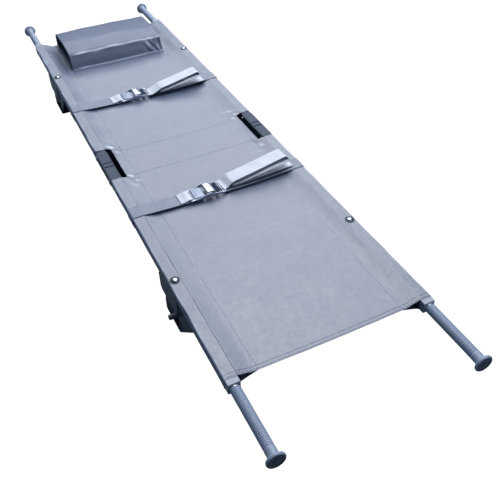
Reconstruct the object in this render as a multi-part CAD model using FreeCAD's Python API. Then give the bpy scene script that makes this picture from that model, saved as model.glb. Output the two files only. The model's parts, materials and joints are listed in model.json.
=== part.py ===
import FreeCAD, Part
import math
import os

# Folding rescue stretcher standing on its four feet.
# Frame: origin on the ground under the middle of the bed, +Y to the head end, +X right, +Z up.
# All sizes are in millimetres.

V = FreeCAD.Vector

# ---- overall sizes ----
BED_WIDTH = 560.0           # over the fabric that wraps the two rails
BED_LENGTH = 1940.0         # length of the fabric
BED_HEIGHT = 150.0          # ground to the fabric on top of the rails
HANDLE_REACH = 200.0        # from the end cap's face to the end of the knob

# ---- rails ----
RAIL_SIZE = 31.0
RAIL_WALL = 1.5
SLEEVE_THICK = 1.2
CAP_LENGTH = 17.0
CAP_STEP = 0.5              # cap stands proud of the rail tube all round
CAP_ROUND = 2.0
CAP_BEVEL = 1.2
CAP_PRONG = 22.0

# ---- sliding handles ----
TUBE_ROOM = 2.0             # between the handle tube and the rail's inner wall
TUBE_WALL = 1.6
TUBE_INSIDE = 95.0          # stays inside the rail when pulled out
GRIP_WALL = 1.6
GRIP_GAP = 3.0              # bare tube between cap and grip
KNOB_RADIUS = 23.5
KNOB_LENGTH = 9.0
KNOB_FLARE = 6.0
KNOB_LIP = 1.5
KNOB_ROUND = 3.0
GLIDER_LENGTH = 24.0
SLIDE_CLEAR = 0.3

# ---- mid hinge ----
HINGE_Y = -35.0             # centre of the link
PIN_SPAN = 148.0            # between the two pivots of one link
LUG_STEP = 0.5              # lug sides stand back from the rail sides
LUG_SPIGOT = 55.0
CHEEK_THICK = 2.5
CHEEK_CLEAR = 0.15
CHEEK_STEP = 0.3            # cheek edge stands back from the rail top
SPACER_LENGTH = 18.0
NOSE_CLEAR = 2.5
PIN_RADIUS = 5.0
PIN_CLEAR = 0.05
PIN_HEAD_RADIUS = 8.5
PIN_HEAD_HEIGHT = 3.5
PIN_HEAD_ROUND = 2.8
SPACER_LIFT = 0.5
CUT_CLEAR = 0.5             # fabric edge to the cheek plates

# ---- feet and brackets ----
BOLT_INSET = {"foot": 343.5, "head": 326.5}     # from the ends of the fabric
FOOT_INSET = {"foot": 354.5, "head": 293.0}     # from the ends of the fabric
FOOT_WIDTH = 31.0
BRACKET_THICK = 3.0
FLANGE_RISE = 7.0
SADDLE_HALF = 66.0
WEB_DROP = 50.0
WEB_BACK_BEVEL = (10.0, 8.0)
WEB_FRONT_BEVEL = 6.0
PEG_RADIUS = 7.5
PEG_LENGTH = 26.0           # from the side of the fabric
PEG_CHAMFER = 1.5
PEG_BACK = -57.0            # from the middle of the sole
PEG_DROP = 41.6             # below the underside of the fabric
BOLT_RADIUS = 4.0
BOLT_HEAD_RADIUS = 11.0
BOLT_HEAD_HEIGHT = 4.5
BOLT_HEAD_ROUND = 3.8
NUT_RADIUS = 8.0
NUT_DEPTH = 8.0

# ---- skid outline, from the middle of the sole ----
SOLE_HALF = 49.0
SOLE_ROUND = 3.0
HEEL_TOP = (37.0, 70.0)
HEEL_KNEE = (48.5, 34.0)
TOE_REACH = 11.0
TOE_HEIGHT = 8.0
WINDOW = ((36.0, 9.0), (-50.0, 52.0), (-60.0, 20.0), (-50.0, 9.0))

# ---- cross struts ----
STRUT_INSET = 45.0          # pivot, from the outer side of the fabric
STRUT_WIDTH = 24.0
STRUT_THICK = 8.0
STRUT_CLEAR = 0.4
STRUT_PIN_RADIUS = 4.0
STRUT_PIN_RIM = 3.0
STRUT_PIN_CAP = 2.5
STRUT_END_CLEAR = 0.3       # the opened pivot of the head strut
EAR_TIP = 14.0

# ---- bed, pillow and belts ----
BED_THICK = 2.5
BED_DROP = 11.0             # bed surface below the top of the rail fabric
BED_GAP = 0.4
SLOT_INSET = 52.0           # fabric edge along the hinge cut-out, from the outer side
PILLOW_INSET = 90.0         # from the outer side of the fabric
PILLOW_BACK = 4.0           # from the head end of the fabric
PILLOW_LENGTH = 269.0
PILLOW_HEIGHT = 52.0        # above the rail top
PILLOW_LEAN = 6.0
PILLOW_SHOULDER = 22.0
PILLOW_BROW = 30.0
PILLOW_TAPER = 14.0
PILLOW_FALL = 4.0
PILLOW_SHELL = 3.0
BELT_WIDTH = 50.0
BELT_THICK = 1.8
BELT_Y = {"foot": -311.0, "head": 365.0}
BELT_SLACK = 6.0
BUCKLE_X = (-105.0, 15.0)
BUCKLE_LIFT = 3.0
BUCKLE_MARGIN = 4.0         # frame beyond the strap on each side
BUCKLE_SEAT = 0.6           # frame above the strap
BUCKLE_PLATE = 2.5
BUCKLE_BAR = 5.0            # frame metal beyond each slot
LEFT_SLOT = (7.0, 15.0)
RIGHT_SLOT = (17.0, 8.0)
LEVER_PIN_RADIUS = 2.5
LEVER_PIN_X = 62.0
LEVER_PIN_Z = 9.5
LEVER_GAP = 3.0
CHEEK_OUTLINE = ((-12.0, -7.0), (-5.0, 5.0), (6.0, 5.0), (14.0, -7.0))
LEVER_OUTLINE = ((-5.0, 4.0), (-5.0, -4.0), (6.0, -4.0), (38.0, -3.5), (44.0, 1.5), (30.0, 5.5), (8.0, 8.0))
SPAN_TOUCH = 60.0           # flat stretch of each strap beside the buckle
TAIL_START = 10.0
TAIL_INSET = 55.0           # end of the tail, from the outer side of the fabric
TAIL_LAYERS = 3
TAIL_RISE = 14.0            # folded tail above the rail top

# ---- positions worked out from the sizes above ----
RAIL_TOP = BED_HEIGHT - SLEEVE_THICK
RAIL_Z = RAIL_TOP - RAIL_SIZE / 2
RAIL_BOTTOM = RAIL_TOP - RAIL_SIZE
RAIL_X = BED_WIDTH / 2 - SLEEVE_THICK - RAIL_SIZE / 2
END_Y = BED_LENGTH / 2
CAP_SIZE = RAIL_SIZE + 2 * CAP_STEP
TUBE_RADIUS = RAIL_SIZE / 2 - RAIL_WALL - TUBE_ROOM
GRIP_RADIUS = TUBE_RADIUS + GRIP_WALL
LUG_WIDTH = RAIL_SIZE - 2 * LUG_STEP
CHEEK_RADIUS = RAIL_SIZE / 2 - CHEEK_STEP
BOLT_Y = {"foot": BOLT_INSET["foot"] - END_Y, "head": END_Y - BOLT_INSET["head"]}
FOOT_Y = {"foot": FOOT_INSET["foot"] - END_Y, "head": END_Y - FOOT_INSET["head"]}
STRUT_PIVOT_X = BED_WIDTH / 2 - STRUT_INSET
SLOT_EDGE = BED_WIDTH / 2 - SLOT_INSET
PILLOW_HALF = BED_WIDTH / 2 - PILLOW_INSET
PILLOW_Y = (END_Y - PILLOW_BACK - PILLOW_LENGTH, END_Y - PILLOW_BACK)
TAIL_END_X = BED_WIDTH / 2 - TAIL_INSET
PIN_Y = {"foot": HINGE_Y - PIN_SPAN / 2, "head": HINGE_Y + PIN_SPAN / 2}
NOSE_RADIUS = PIN_SPAN / 2 - SPACER_LENGTH / 2 - NOSE_CLEAR
FABRIC_BREAK = CHEEK_RADIUS + CUT_CLEAR
SLEEVE_OUT = RAIL_SIZE / 2 + SLEEVE_THICK
INNER_EDGE = RAIL_X - SLEEVE_OUT - BELT_THICK - BED_GAP
SEAT = RAIL_BOTTOM - SLEEVE_THICK
PEG_HEIGHT = SEAT - PEG_DROP
BED_TOP = BED_HEIGHT - BED_DROP
SIDES = {"left": -1.0, "right": 1.0}
HALVES = {"foot": -1.0, "head": 1.0}

os.makedirs("parts", exist_ok=True)


def export(name, *solids):
    """Write one node, as one solid or as a group of separate solids."""
    shape = solids[0] if len(solids) == 1 else Part.makeCompound(list(solids))
    shape.exportStep("parts/" + name + ".step")


def block(x0, x1, y0, y1, z0, z1):
    """Box between two corners, given in any order."""
    low = V(min(x0, x1), min(y0, y1), min(z0, z1))
    return Part.makeBox(abs(x1 - x0), abs(y1 - y0), abs(z1 - z0), low)


def rod(radius, start, end):
    """Cylinder from start to end."""
    along = end - start
    return Part.makeCylinder(radius, along.Length, start, along)


def prism(points, plane, low, high):
    """Extrude a closed outline along X ("yz"), Y ("xz") or Z ("xy")."""
    put = {
        "yz": lambda a, b: V(low, a, b),
        "xz": lambda a, b: V(a, low, b),
        "xy": lambda a, b: V(a, b, low),
    }[plane]
    push = {"yz": V(high - low, 0, 0), "xz": V(0, high - low, 0), "xy": V(0, 0, high - low)}[plane]
    ring = [put(a, b) for a, b in points]
    return Part.Face(Part.makePolygon(ring + ring[:1])).extrude(push)


def rail_tube(x, y0, y1):
    """Square tube with rounded long edges."""
    half = RAIL_SIZE / 2
    outer = block(x - half, x + half, y0, y1, RAIL_Z - half, RAIL_Z + half)
    long_edges = [e for e in outer.Edges if abs(e.tangentAt(e.FirstParameter).y) > 0.99]
    outer = outer.makeFillet(RAIL_WALL, long_edges)
    inside = half - RAIL_WALL
    return outer.cut(block(x - inside, x + inside, y0 - 1, y1 + 1, RAIL_Z - inside, RAIL_Z + inside))


def make_rail(side, half):
    """Rail tube from the end cap to the hinge lug."""
    x = SIDES[side] * RAIL_X
    way = HALVES[half]
    near = PIN_Y[half] + way * FABRIC_BREAK
    tube = rail_tube(x, min(near, way * END_Y), max(near, way * END_Y))
    bolt_y = BOLT_Y[half]
    tube = tube.cut(rod(BOLT_RADIUS, V(x, bolt_y, RAIL_BOTTOM - 1), V(x, bolt_y, RAIL_TOP + 1)))
    export(side + "_" + half + "_rail", tube)


def make_cap(side, half):
    """End cap: bored block with four prongs inside the rail."""
    x = SIDES[side] * RAIL_X
    way = HALVES[half]
    y0 = way * END_Y
    y1 = way * (END_Y + CAP_LENGTH)
    size = CAP_SIZE / 2
    body = block(x - size, x + size, y0, y1, RAIL_Z - size, RAIL_Z + size)
    long_edges = [e for e in body.Edges if abs(e.tangentAt(e.FirstParameter).y) > 0.99]
    body = body.makeFillet(CAP_ROUND, long_edges)
    face = [e for e in body.Edges if all(abs(v.Y - y1) < 0.01 for v in e.Vertexes)]
    body = body.makeChamfer(CAP_BEVEL, face)
    grip = RAIL_SIZE / 2 - RAIL_WALL
    prongs = block(x - grip, x + grip, y0 - way * CAP_PRONG, y0, RAIL_Z - grip, RAIL_Z + grip)
    bore = rod(GRIP_RADIUS + SLIDE_CLEAR, V(x, y0 - way * (CAP_PRONG + 1), RAIL_Z), V(x, y1 + way, RAIL_Z))
    prongs = prongs.cut(bore)
    corners = [s for s in prongs.Solids if s.Volume > 50.0]
    export(side + "_" + half + "_end_cap", body.cut(bore).fuse(corners).removeSplitter())


def make_handle(side, half):
    """Sliding tube with a square glider swaged on its inner end, and the moulded grip."""
    x = SIDES[side] * RAIL_X
    way = HALVES[half]
    cap_y = END_Y + CAP_LENGTH
    inner = way * (END_Y - TUBE_INSIDE)
    outer = way * (cap_y + HANDLE_REACH - KNOB_LENGTH)
    tube = rod(TUBE_RADIUS, V(x, inner, RAIL_Z), V(x, outer, RAIL_Z))
    size = RAIL_SIZE / 2 - RAIL_WALL - SLIDE_CLEAR
    glider = block(x - size, x + size, inner, inner + way * GLIDER_LENGTH, RAIL_Z - size, RAIL_Z + size)
    hollow = rod(TUBE_RADIUS - TUBE_WALL, V(x, inner - way, RAIL_Z), V(x, outer + way, RAIL_Z))
    export(side + "_" + half + "_handle_tube", tube.fuse(glider).cut(hollow).removeSplitter())
    start = cap_y + GRIP_GAP
    knob = cap_y + HANDLE_REACH - KNOB_LENGTH
    profile = [
        (TUBE_RADIUS, start),
        (GRIP_RADIUS, start),
        (GRIP_RADIUS, knob - KNOB_FLARE),
        (KNOB_RADIUS - KNOB_LIP, knob),
        (KNOB_RADIUS, knob + KNOB_LIP),
        (KNOB_RADIUS, knob + KNOB_LENGTH - KNOB_ROUND),
        (KNOB_RADIUS - KNOB_ROUND, knob + KNOB_LENGTH),
        (0.0, knob + KNOB_LENGTH),
        (0.0, knob),
        (TUBE_RADIUS, knob),
    ]
    ring = [V(x + r, way * y, RAIL_Z) for r, y in profile]
    face = Part.Face(Part.makePolygon(ring + ring[:1]))
    export(side + "_" + half + "_grip", face.revolve(V(x, 0, RAIL_Z), V(0, 1, 0), 360))


def make_lug(side, half):
    """Solid rail end that carries the pivot; its nose is an arc about the pin."""
    x = SIDES[side] * RAIL_X
    way = HALVES[half]
    pin = PIN_Y[half]
    wide = LUG_WIDTH / 2
    near = pin + way * FABRIC_BREAK
    body = block(x - wide, x + wide, near, pin - way * (NOSE_RADIUS + 1), RAIL_BOTTOM, RAIL_TOP)
    nose = rod(NOSE_RADIUS, V(x - wide, pin, RAIL_Z), V(x + wide, pin, RAIL_Z))
    body = body.common(nose)
    grip = RAIL_SIZE / 2 - RAIL_WALL
    spigot = block(x - grip, x + grip, near, near + way * LUG_SPIGOT, RAIL_Z - grip, RAIL_Z + grip)
    hole = rod(PIN_RADIUS + PIN_CLEAR, V(x - wide - 1, pin, RAIL_Z), V(x + wide + 1, pin, RAIL_Z))
    export(side + "_" + half + "_hinge_lug", body.fuse(spigot).cut(hole).removeSplitter())


def make_link(side):
    """Two cheek plates, the spacer between them and the two pivot bolts."""
    sign = SIDES[side]
    x = sign * RAIL_X
    inner = LUG_WIDTH / 2 + CHEEK_CLEAR
    outer = inner + CHEEK_THICK
    pieces = []
    for way in (sign, -sign):
        a = V(x + way * inner, 0, 0)
        b = V(x + way * outer, 0, 0)
        plate = block(a.x, b.x, PIN_Y["foot"], PIN_Y["head"], RAIL_Z - CHEEK_RADIUS, RAIL_Z + CHEEK_RADIUS)
        for pin in PIN_Y.values():
            plate = plate.fuse(rod(CHEEK_RADIUS, V(a.x, pin, RAIL_Z), V(b.x, pin, RAIL_Z)))
        for pin in PIN_Y.values():
            plate = plate.cut(rod(PIN_RADIUS, V(a.x - way, pin, RAIL_Z), V(b.x + way, pin, RAIL_Z)))
        pieces.append(plate.removeSplitter())
    half = SPACER_LENGTH / 2
    low = RAIL_BOTTOM + SPACER_LIFT
    pieces.append(block(x - inner, x + inner, HINGE_Y - half, HINGE_Y + half, low, RAIL_TOP))
    export(side + "_link", *pieces)
    bolts = []
    for pin in PIN_Y.values():
        shank = rod(PIN_RADIUS, V(x - outer, pin, RAIL_Z), V(x + outer, pin, RAIL_Z))
        domed = []
        for way in (-1.0, 1.0):
            far = x + way * (outer + PIN_HEAD_HEIGHT)
            head = rod(PIN_HEAD_RADIUS, V(x + way * outer, pin, RAIL_Z), V(far, pin, RAIL_Z))
            rims = [e for e in head.Edges if e.Closed and abs(e.CenterOfMass.x - far) < 0.01]
            domed.append(head.makeFillet(PIN_HEAD_ROUND, rims))
        bolts.append(shank.fuse(domed).removeSplitter())
    export(side + "_link_pivot_bolts", *bolts)


def make_bracket(side, half):
    """Steel saddle under the rail with flange, web, strut ear and riveted pin, and the rail bolt."""
    sign = SIDES[side]
    x = sign * RAIL_X
    foot = FOOT_Y[half]
    bolt_y = BOLT_Y[half]
    out = sign * (BED_WIDTH / 2)
    edge = out + sign * BRACKET_THICK
    low = SEAT - BRACKET_THICK
    back = foot + SADDLE_HALF
    front = foot - SADDLE_HALF
    inside = sign * (BED_WIDTH / 2 - FOOT_WIDTH)
    saddle = block(edge, inside, front, back, low, SEAT)
    flange = block(edge, out, front, back, SEAT, SEAT + FLANGE_RISE)
    web_points = [
        (back, SEAT),
        (back, SEAT - WEB_DROP + WEB_BACK_BEVEL[1]),
        (back - WEB_BACK_BEVEL[0], SEAT - WEB_DROP),
        (front + WEB_FRONT_BEVEL, SEAT - WEB_DROP),
        (front, SEAT - WEB_DROP + WEB_FRONT_BEVEL),
        (front, SEAT),
    ]
    web = prism(web_points, "yz", out, edge)
    ear = block(inside, sign * STRUT_PIVOT_X, bolt_y - EAR_TIP, bolt_y + EAR_TIP, low, SEAT)
    tip = rod(EAR_TIP, V(sign * STRUT_PIVOT_X, bolt_y, low), V(sign * STRUT_PIVOT_X, bolt_y, SEAT))
    body = saddle.fuse([flange, web, ear, tip])
    body = body.cut(rod(BOLT_RADIUS, V(x, bolt_y, low - 1), V(x, bolt_y, SEAT + 1)))
    arm_low = low - (1 if side == "left" else 2) * (STRUT_CLEAR + STRUT_THICK)
    pin = capped_pin(sign * STRUT_PIVOT_X, bolt_y, arm_low - STRUT_CLEAR, SEAT)
    body = body.fuse(pin)
    if half == "foot":
        root = V(edge, foot + PEG_BACK, PEG_HEIGHT)
        end = root + V(sign * (PEG_LENGTH - BRACKET_THICK), 0, 0)
        peg = rod(PEG_RADIUS, root, end)
        rim = [e for e in peg.Edges if e.Closed and abs(e.CenterOfMass.x - end.x) < 0.01]
        body = body.fuse(peg.makeChamfer(PEG_CHAMFER, rim))
    export(side + "_" + half + "_skid_bracket", body.removeSplitter())
    head_low = BED_HEIGHT
    shank = rod(BOLT_RADIUS, V(x, bolt_y, low), V(x, bolt_y, head_low))
    head = rod(BOLT_HEAD_RADIUS, V(x, bolt_y, head_low), V(x, bolt_y, head_low + BOLT_HEAD_HEIGHT))
    crown = head_low + BOLT_HEAD_HEIGHT
    rim = [e for e in head.Edges if e.Closed and abs(e.CenterOfMass.z - crown) < 0.01]
    head = head.makeFillet(BOLT_HEAD_ROUND, rim)
    export(side + "_" + half + "_rail_bolt", shank.fuse(head).removeSplitter())


def make_foot(side, half):
    """Skid foot: flat sole, steep heel, 45 degree toe and an open window above the sole."""
    sign = SIDES[side]
    y = FOOT_Y[half]
    top = SEAT - BRACKET_THICK
    toe = y - SOLE_HALF - TOE_REACH
    outline = [
        (y + HEEL_TOP[0], top),
        (y + HEEL_TOP[0], HEEL_TOP[1]),
        (y + HEEL_KNEE[0], HEEL_KNEE[1]),
        (y + SOLE_HALF, SOLE_ROUND),
        (y + SOLE_HALF - SOLE_ROUND, 0.0),
        (y - SOLE_HALF, 0.0),
        (toe, TOE_HEIGHT),
        (toe - (top - TOE_HEIGHT), top),
    ]
    window = [(y + along, height) for along, height in WINDOW]
    a = sign * BED_WIDTH / 2
    b = sign * (BED_WIDTH / 2 - FOOT_WIDTH)
    body = prism(outline, "yz", a, b)
    body = body.cut(prism(window, "yz", a + sign, b - sign))
    bolt = BOLT_Y[half]
    nut = rod(NUT_RADIUS, V(sign * RAIL_X, bolt, top - NUT_DEPTH), V(sign * RAIL_X, bolt, top + 1))
    export(side + "_" + half + "_skid", body.cut(nut).removeSplitter())


def arm(root, tip, low, bores):
    """Flat strut arm with round ends along X."""
    half = STRUT_WIDTH / 2
    body = block(root.x, tip.x, root.y - half, root.y + half, low, low + STRUT_THICK)
    for end in (root, tip):
        body = body.fuse(rod(half, V(end.x, end.y, low), V(end.x, end.y, low + STRUT_THICK)))
    for end, radius in zip((root, tip), bores):
        body = body.cut(rod(radius, V(end.x, end.y, low - 1), V(end.x, end.y, low + STRUT_THICK + 1)))
    return body.removeSplitter()


def capped_pin(x, y, z0, z1):
    """Pivot pin with a flat head at each end of its grip."""
    shank = rod(STRUT_PIN_RADIUS, V(x, y, z0 - STRUT_PIN_CAP), V(x, y, z1))
    foot = rod(STRUT_PIN_RADIUS + STRUT_PIN_RIM, V(x, y, z0 - STRUT_PIN_CAP), V(x, y, z0))
    return shank.fuse(foot).removeSplitter()


def make_strut(half):
    """Cross strut of two arms; the left one carries the riveted knee pin."""
    y = BOLT_Y[half]
    ear = SEAT - BRACKET_THICK
    left_low = ear - STRUT_CLEAR - STRUT_THICK
    right_low = left_low - STRUT_CLEAR - STRUT_THICK
    run = STRUT_PIN_RADIUS + PIN_CLEAR
    loose = STRUT_PIN_RADIUS + (STRUT_END_CLEAR if half == "head" else PIN_CLEAR)
    left_root = V(-STRUT_PIVOT_X, y, 0)
    right_root = V(STRUT_PIVOT_X, y, 0)
    knee = V(0, y, 0)
    left = arm(left_root, knee, left_low, (run, STRUT_PIN_RADIUS))
    left = left.fuse(capped_pin(0, y, right_low - STRUT_CLEAR, left_low + STRUT_THICK)).removeSplitter()
    export("left_" + half + "_strut_arm", left)
    export("right_" + half + "_strut_arm", arm(knee, right_root, right_low, (run, loose)))


def make_sleeve(side, half):
    """Fabric sleeve wrapped round one rail half."""
    x = SIDES[side] * RAIL_X
    way = HALVES[half]
    near = PIN_Y[half] + way * FABRIC_BREAK
    out = SLEEVE_OUT
    core = RAIL_SIZE / 2
    wrap = block(x - out, x + out, near, way * END_Y, RAIL_Z - out, RAIL_Z + out)
    wrap = wrap.cut(block(x - core, x + core, near - way, way * (END_Y + 1), RAIL_Z - core, RAIL_Z + core))
    bolt_y = BOLT_Y[half]
    wrap = wrap.cut(rod(BOLT_RADIUS, V(x, bolt_y, SEAT - 1), V(x, bolt_y, BED_HEIGHT + 1)))
    export(side + "_" + half + "_sleeve", wrap)


def make_bed():
    """Bed sheet between the sleeves: foot panel, middle panel between the pivots, head panel."""
    spans = {
        "foot_bed_panel": (-END_Y, PIN_Y["foot"] - BED_GAP / 2),
        "middle_bed_panel": (PIN_Y["foot"] + BED_GAP / 2, PIN_Y["head"] - BED_GAP / 2),
        "head_bed_panel": (PIN_Y["head"] + BED_GAP / 2, END_Y),
    }
    low = BED_TOP - BED_THICK
    slot_ends = [PIN_Y[half] + way * FABRIC_BREAK for half, way in HALVES.items()]
    for name, (y0, y1) in spans.items():
        panel = block(-INNER_EDGE, INNER_EDGE, y0, y1, low, BED_TOP)
        for sign in SIDES.values():
            slot = block(sign * SLOT_EDGE, sign * (INNER_EDGE + 1), *slot_ends, low - 1, BED_TOP + 1)
            panel = panel.cut(slot)
        export(name, panel)


def make_pillow():
    """Hollow head rest: a stiff sheet arched over the bed, open at both sides."""
    y0, y1 = PILLOW_Y
    top = BED_HEIGHT + PILLOW_HEIGHT
    low = BED_TOP
    outer = [
        (y0, low),
        (y0 + PILLOW_LEAN, top - PILLOW_SHOULDER),
        (y0 + PILLOW_BROW, top),
        (y1 - PILLOW_TAPER, top - PILLOW_FALL),
        (y1, low),
    ]
    t = PILLOW_SHELL
    inner = [
        (y0 + t, low + t),
        (y0 + PILLOW_LEAN + t, top - PILLOW_SHOULDER - t / 2),
        (y0 + PILLOW_BROW + t / 3, top - t),
        (y1 - PILLOW_TAPER - t * 2 / 3, top - PILLOW_FALL - t),
        (y1 - t, low + t),
    ]
    body = prism(outer, "yz", -PILLOW_HALF, PILLOW_HALF)
    export("pillow", body.cut(prism(inner, "yz", -PILLOW_HALF - 1, PILLOW_HALF + 1)))


def make_belt(half):
    """Safety belt: a loop round each rail, two spans to the buckle and the folded tail."""
    y = BELT_Y[half]
    y0 = y - BELT_WIDTH / 2
    y1 = y + BELT_WIDTH / 2
    t = BELT_THICK
    for side, sign in SIDES.items():
        x = sign * RAIL_X
        in_half = SLEEVE_OUT
        loop = block(x - in_half - t, x + in_half + t, y0, y1, SEAT - BELT_SLACK - t, BED_HEIGHT + t)
        loop = loop.cut(block(x - in_half, x + in_half, y0 - 1, y1 + 1, SEAT - BELT_SLACK, BED_HEIGHT))
        export(side + "_" + half + "_belt_loop", loop)
    start = INNER_EDGE
    surface = BED_TOP + BED_GAP
    over = BED_HEIGHT + t
    flat = surface + BUCKLE_LIFT
    spans = []
    for rail_x, bar_x, way in ((-start, BUCKLE_X[0], -1.0), (start, BUCKLE_X[1], 1.0)):
        strap = [
            (rail_x, over - t),
            (rail_x, over),
            (bar_x + way * SPAN_TOUCH, flat + t),
            (bar_x, flat + t),
            (bar_x, flat),
            (bar_x + way * SPAN_TOUCH, flat),
        ]
        spans.append(prism(strap, "xz", y0, y1))
    tail_low = BED_HEIGHT + TAIL_RISE
    tail = block(BUCKLE_X[1] + TAIL_START, TAIL_END_X, y0, y1, tail_low, tail_low + TAIL_LAYERS * t)
    export(half + "_belt_spans", *spans)
    export(half + "_belt_tail", tail)


def make_buckle(half):
    """Hook buckle: bent base plate with two bars, the hook frame and the release lever on its pin."""
    y = BELT_Y[half]
    wide = BELT_WIDTH / 2 + BUCKLE_MARGIN
    x0, x1 = BUCKLE_X
    z = BED_TOP + BUCKLE_LIFT + BED_GAP + BELT_THICK + BUCKLE_SEAT
    plate = block(x0, x1, y - wide, y + wide, z, z + BUCKLE_PLATE)
    inside = wide - BUCKLE_BAR
    for a, b in ((x0 + LEFT_SLOT[0], x0 + LEFT_SLOT[1]), (x1 - RIGHT_SLOT[0], x1 - RIGHT_SLOT[1])):
        plate = plate.cut(block(a, b, y - inside, y + inside, z - 1, z + BUCKLE_PLATE + 1))
    pin_x = x0 + LEVER_PIN_X
    pin_z = z + LEVER_PIN_Z
    outline = [(pin_x + along, pin_z + height) for along, height in CHEEK_OUTLINE]
    cheeks = []
    for way in (-1.0, 1.0):
        outer = y + way * wide
        inner = outer - way * BUCKLE_PLATE
        cheeks.append(prism(outline, "xz", min(outer, inner), max(outer, inner)))
    body = plate.fuse(cheeks)
    body = body.fuse(rod(LEVER_PIN_RADIUS, V(pin_x, y - wide, pin_z), V(pin_x, y + wide, pin_z)))
    export(half + "_buckle_frame", body.removeSplitter())
    reach = wide - LEVER_GAP
    outline = [(pin_x + along, pin_z + height) for along, height in LEVER_OUTLINE]
    lever = prism(outline, "xz", y - reach, y + reach)
    run = LEVER_PIN_RADIUS + PIN_CLEAR
    lever = lever.cut(rod(run, V(pin_x, y - reach - 1, pin_z), V(pin_x, y + reach + 1, pin_z)))
    export(half + "_buckle_lever", lever)


def main():
    """Build every node of the stretcher."""
    for side in SIDES:
        make_link(side)
        for half in HALVES:
            make_rail(side, half)
            make_cap(side, half)
            make_handle(side, half)
            make_lug(side, half)
            make_bracket(side, half)
            make_foot(side, half)
            make_sleeve(side, half)
    for half in HALVES:
        make_strut(half)
        make_belt(half)
        make_buckle(half)
    make_bed()
    make_pillow()


main()
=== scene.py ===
"""Looks of a folding rescue stretcher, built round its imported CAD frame.

Lengths are in metres in the row frame: +X across the bed, +Y towards the head, +Z up.
Each sub-assembly is a class: its sizes are fields, and its methods build the meshes.
"""

import json
import logging
import math
from dataclasses import dataclass, field
from enum import Enum
from typing import Dict, List, Optional, Sequence, Tuple

import bmesh
import bpy
import numpy as np
from mathutils import Matrix, Vector


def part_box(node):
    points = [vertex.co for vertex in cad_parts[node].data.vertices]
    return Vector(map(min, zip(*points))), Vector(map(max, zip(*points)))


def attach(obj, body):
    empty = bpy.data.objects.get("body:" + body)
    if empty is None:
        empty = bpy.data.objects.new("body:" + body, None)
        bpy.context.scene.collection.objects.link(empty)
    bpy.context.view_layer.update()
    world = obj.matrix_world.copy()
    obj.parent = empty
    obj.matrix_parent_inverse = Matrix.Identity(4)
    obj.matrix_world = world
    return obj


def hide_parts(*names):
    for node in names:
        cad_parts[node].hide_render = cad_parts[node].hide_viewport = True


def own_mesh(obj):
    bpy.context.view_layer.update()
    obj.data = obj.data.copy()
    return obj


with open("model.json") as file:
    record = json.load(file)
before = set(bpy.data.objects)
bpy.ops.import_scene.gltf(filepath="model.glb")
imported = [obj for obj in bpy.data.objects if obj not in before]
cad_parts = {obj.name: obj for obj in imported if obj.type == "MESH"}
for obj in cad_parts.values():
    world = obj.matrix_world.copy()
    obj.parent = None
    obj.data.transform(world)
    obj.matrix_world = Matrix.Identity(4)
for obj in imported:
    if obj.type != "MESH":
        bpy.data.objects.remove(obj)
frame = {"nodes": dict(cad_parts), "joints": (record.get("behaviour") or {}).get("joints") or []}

log = logging.getLogger("stretcher")
Point = Tuple[float, float, float]
Colour = Tuple[float, float, float]
SIDES: Dict[str, float] = {"left": -1.0, "right": 1.0}
HALVES: Dict[str, float] = {"foot": -1.0, "head": 1.0}
MIX_A, MIX_B, MIX_OUT = 6, 7, 2  # colour sockets of a Mix node
BLOTCH_RANGE: Tuple[float, float] = (0.38, 0.72)  # noise between the first and second colour
FINE_RANGE: Tuple[float, float] = (0.3, 0.7)  # noise between lowest and highest roughness
PAINTED_HIGHLIGHT: Colour = (0.55, 0.62, 0.76)  # painted highlight colour, for creases, ridges and edges that catch the light


# --------------------------------------------------------------------------- finishes


class Grain(Enum):
    """Kinds of surface relief a finish can carry."""

    COATED = "coated cloth"
    WEBBING = "woven strap"
    BRUSHED = "drawn metal"
    CAST = "pebbled metal"
    MOULDED = "moulded plastic"
    POLISHED = "polished metal"


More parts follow.
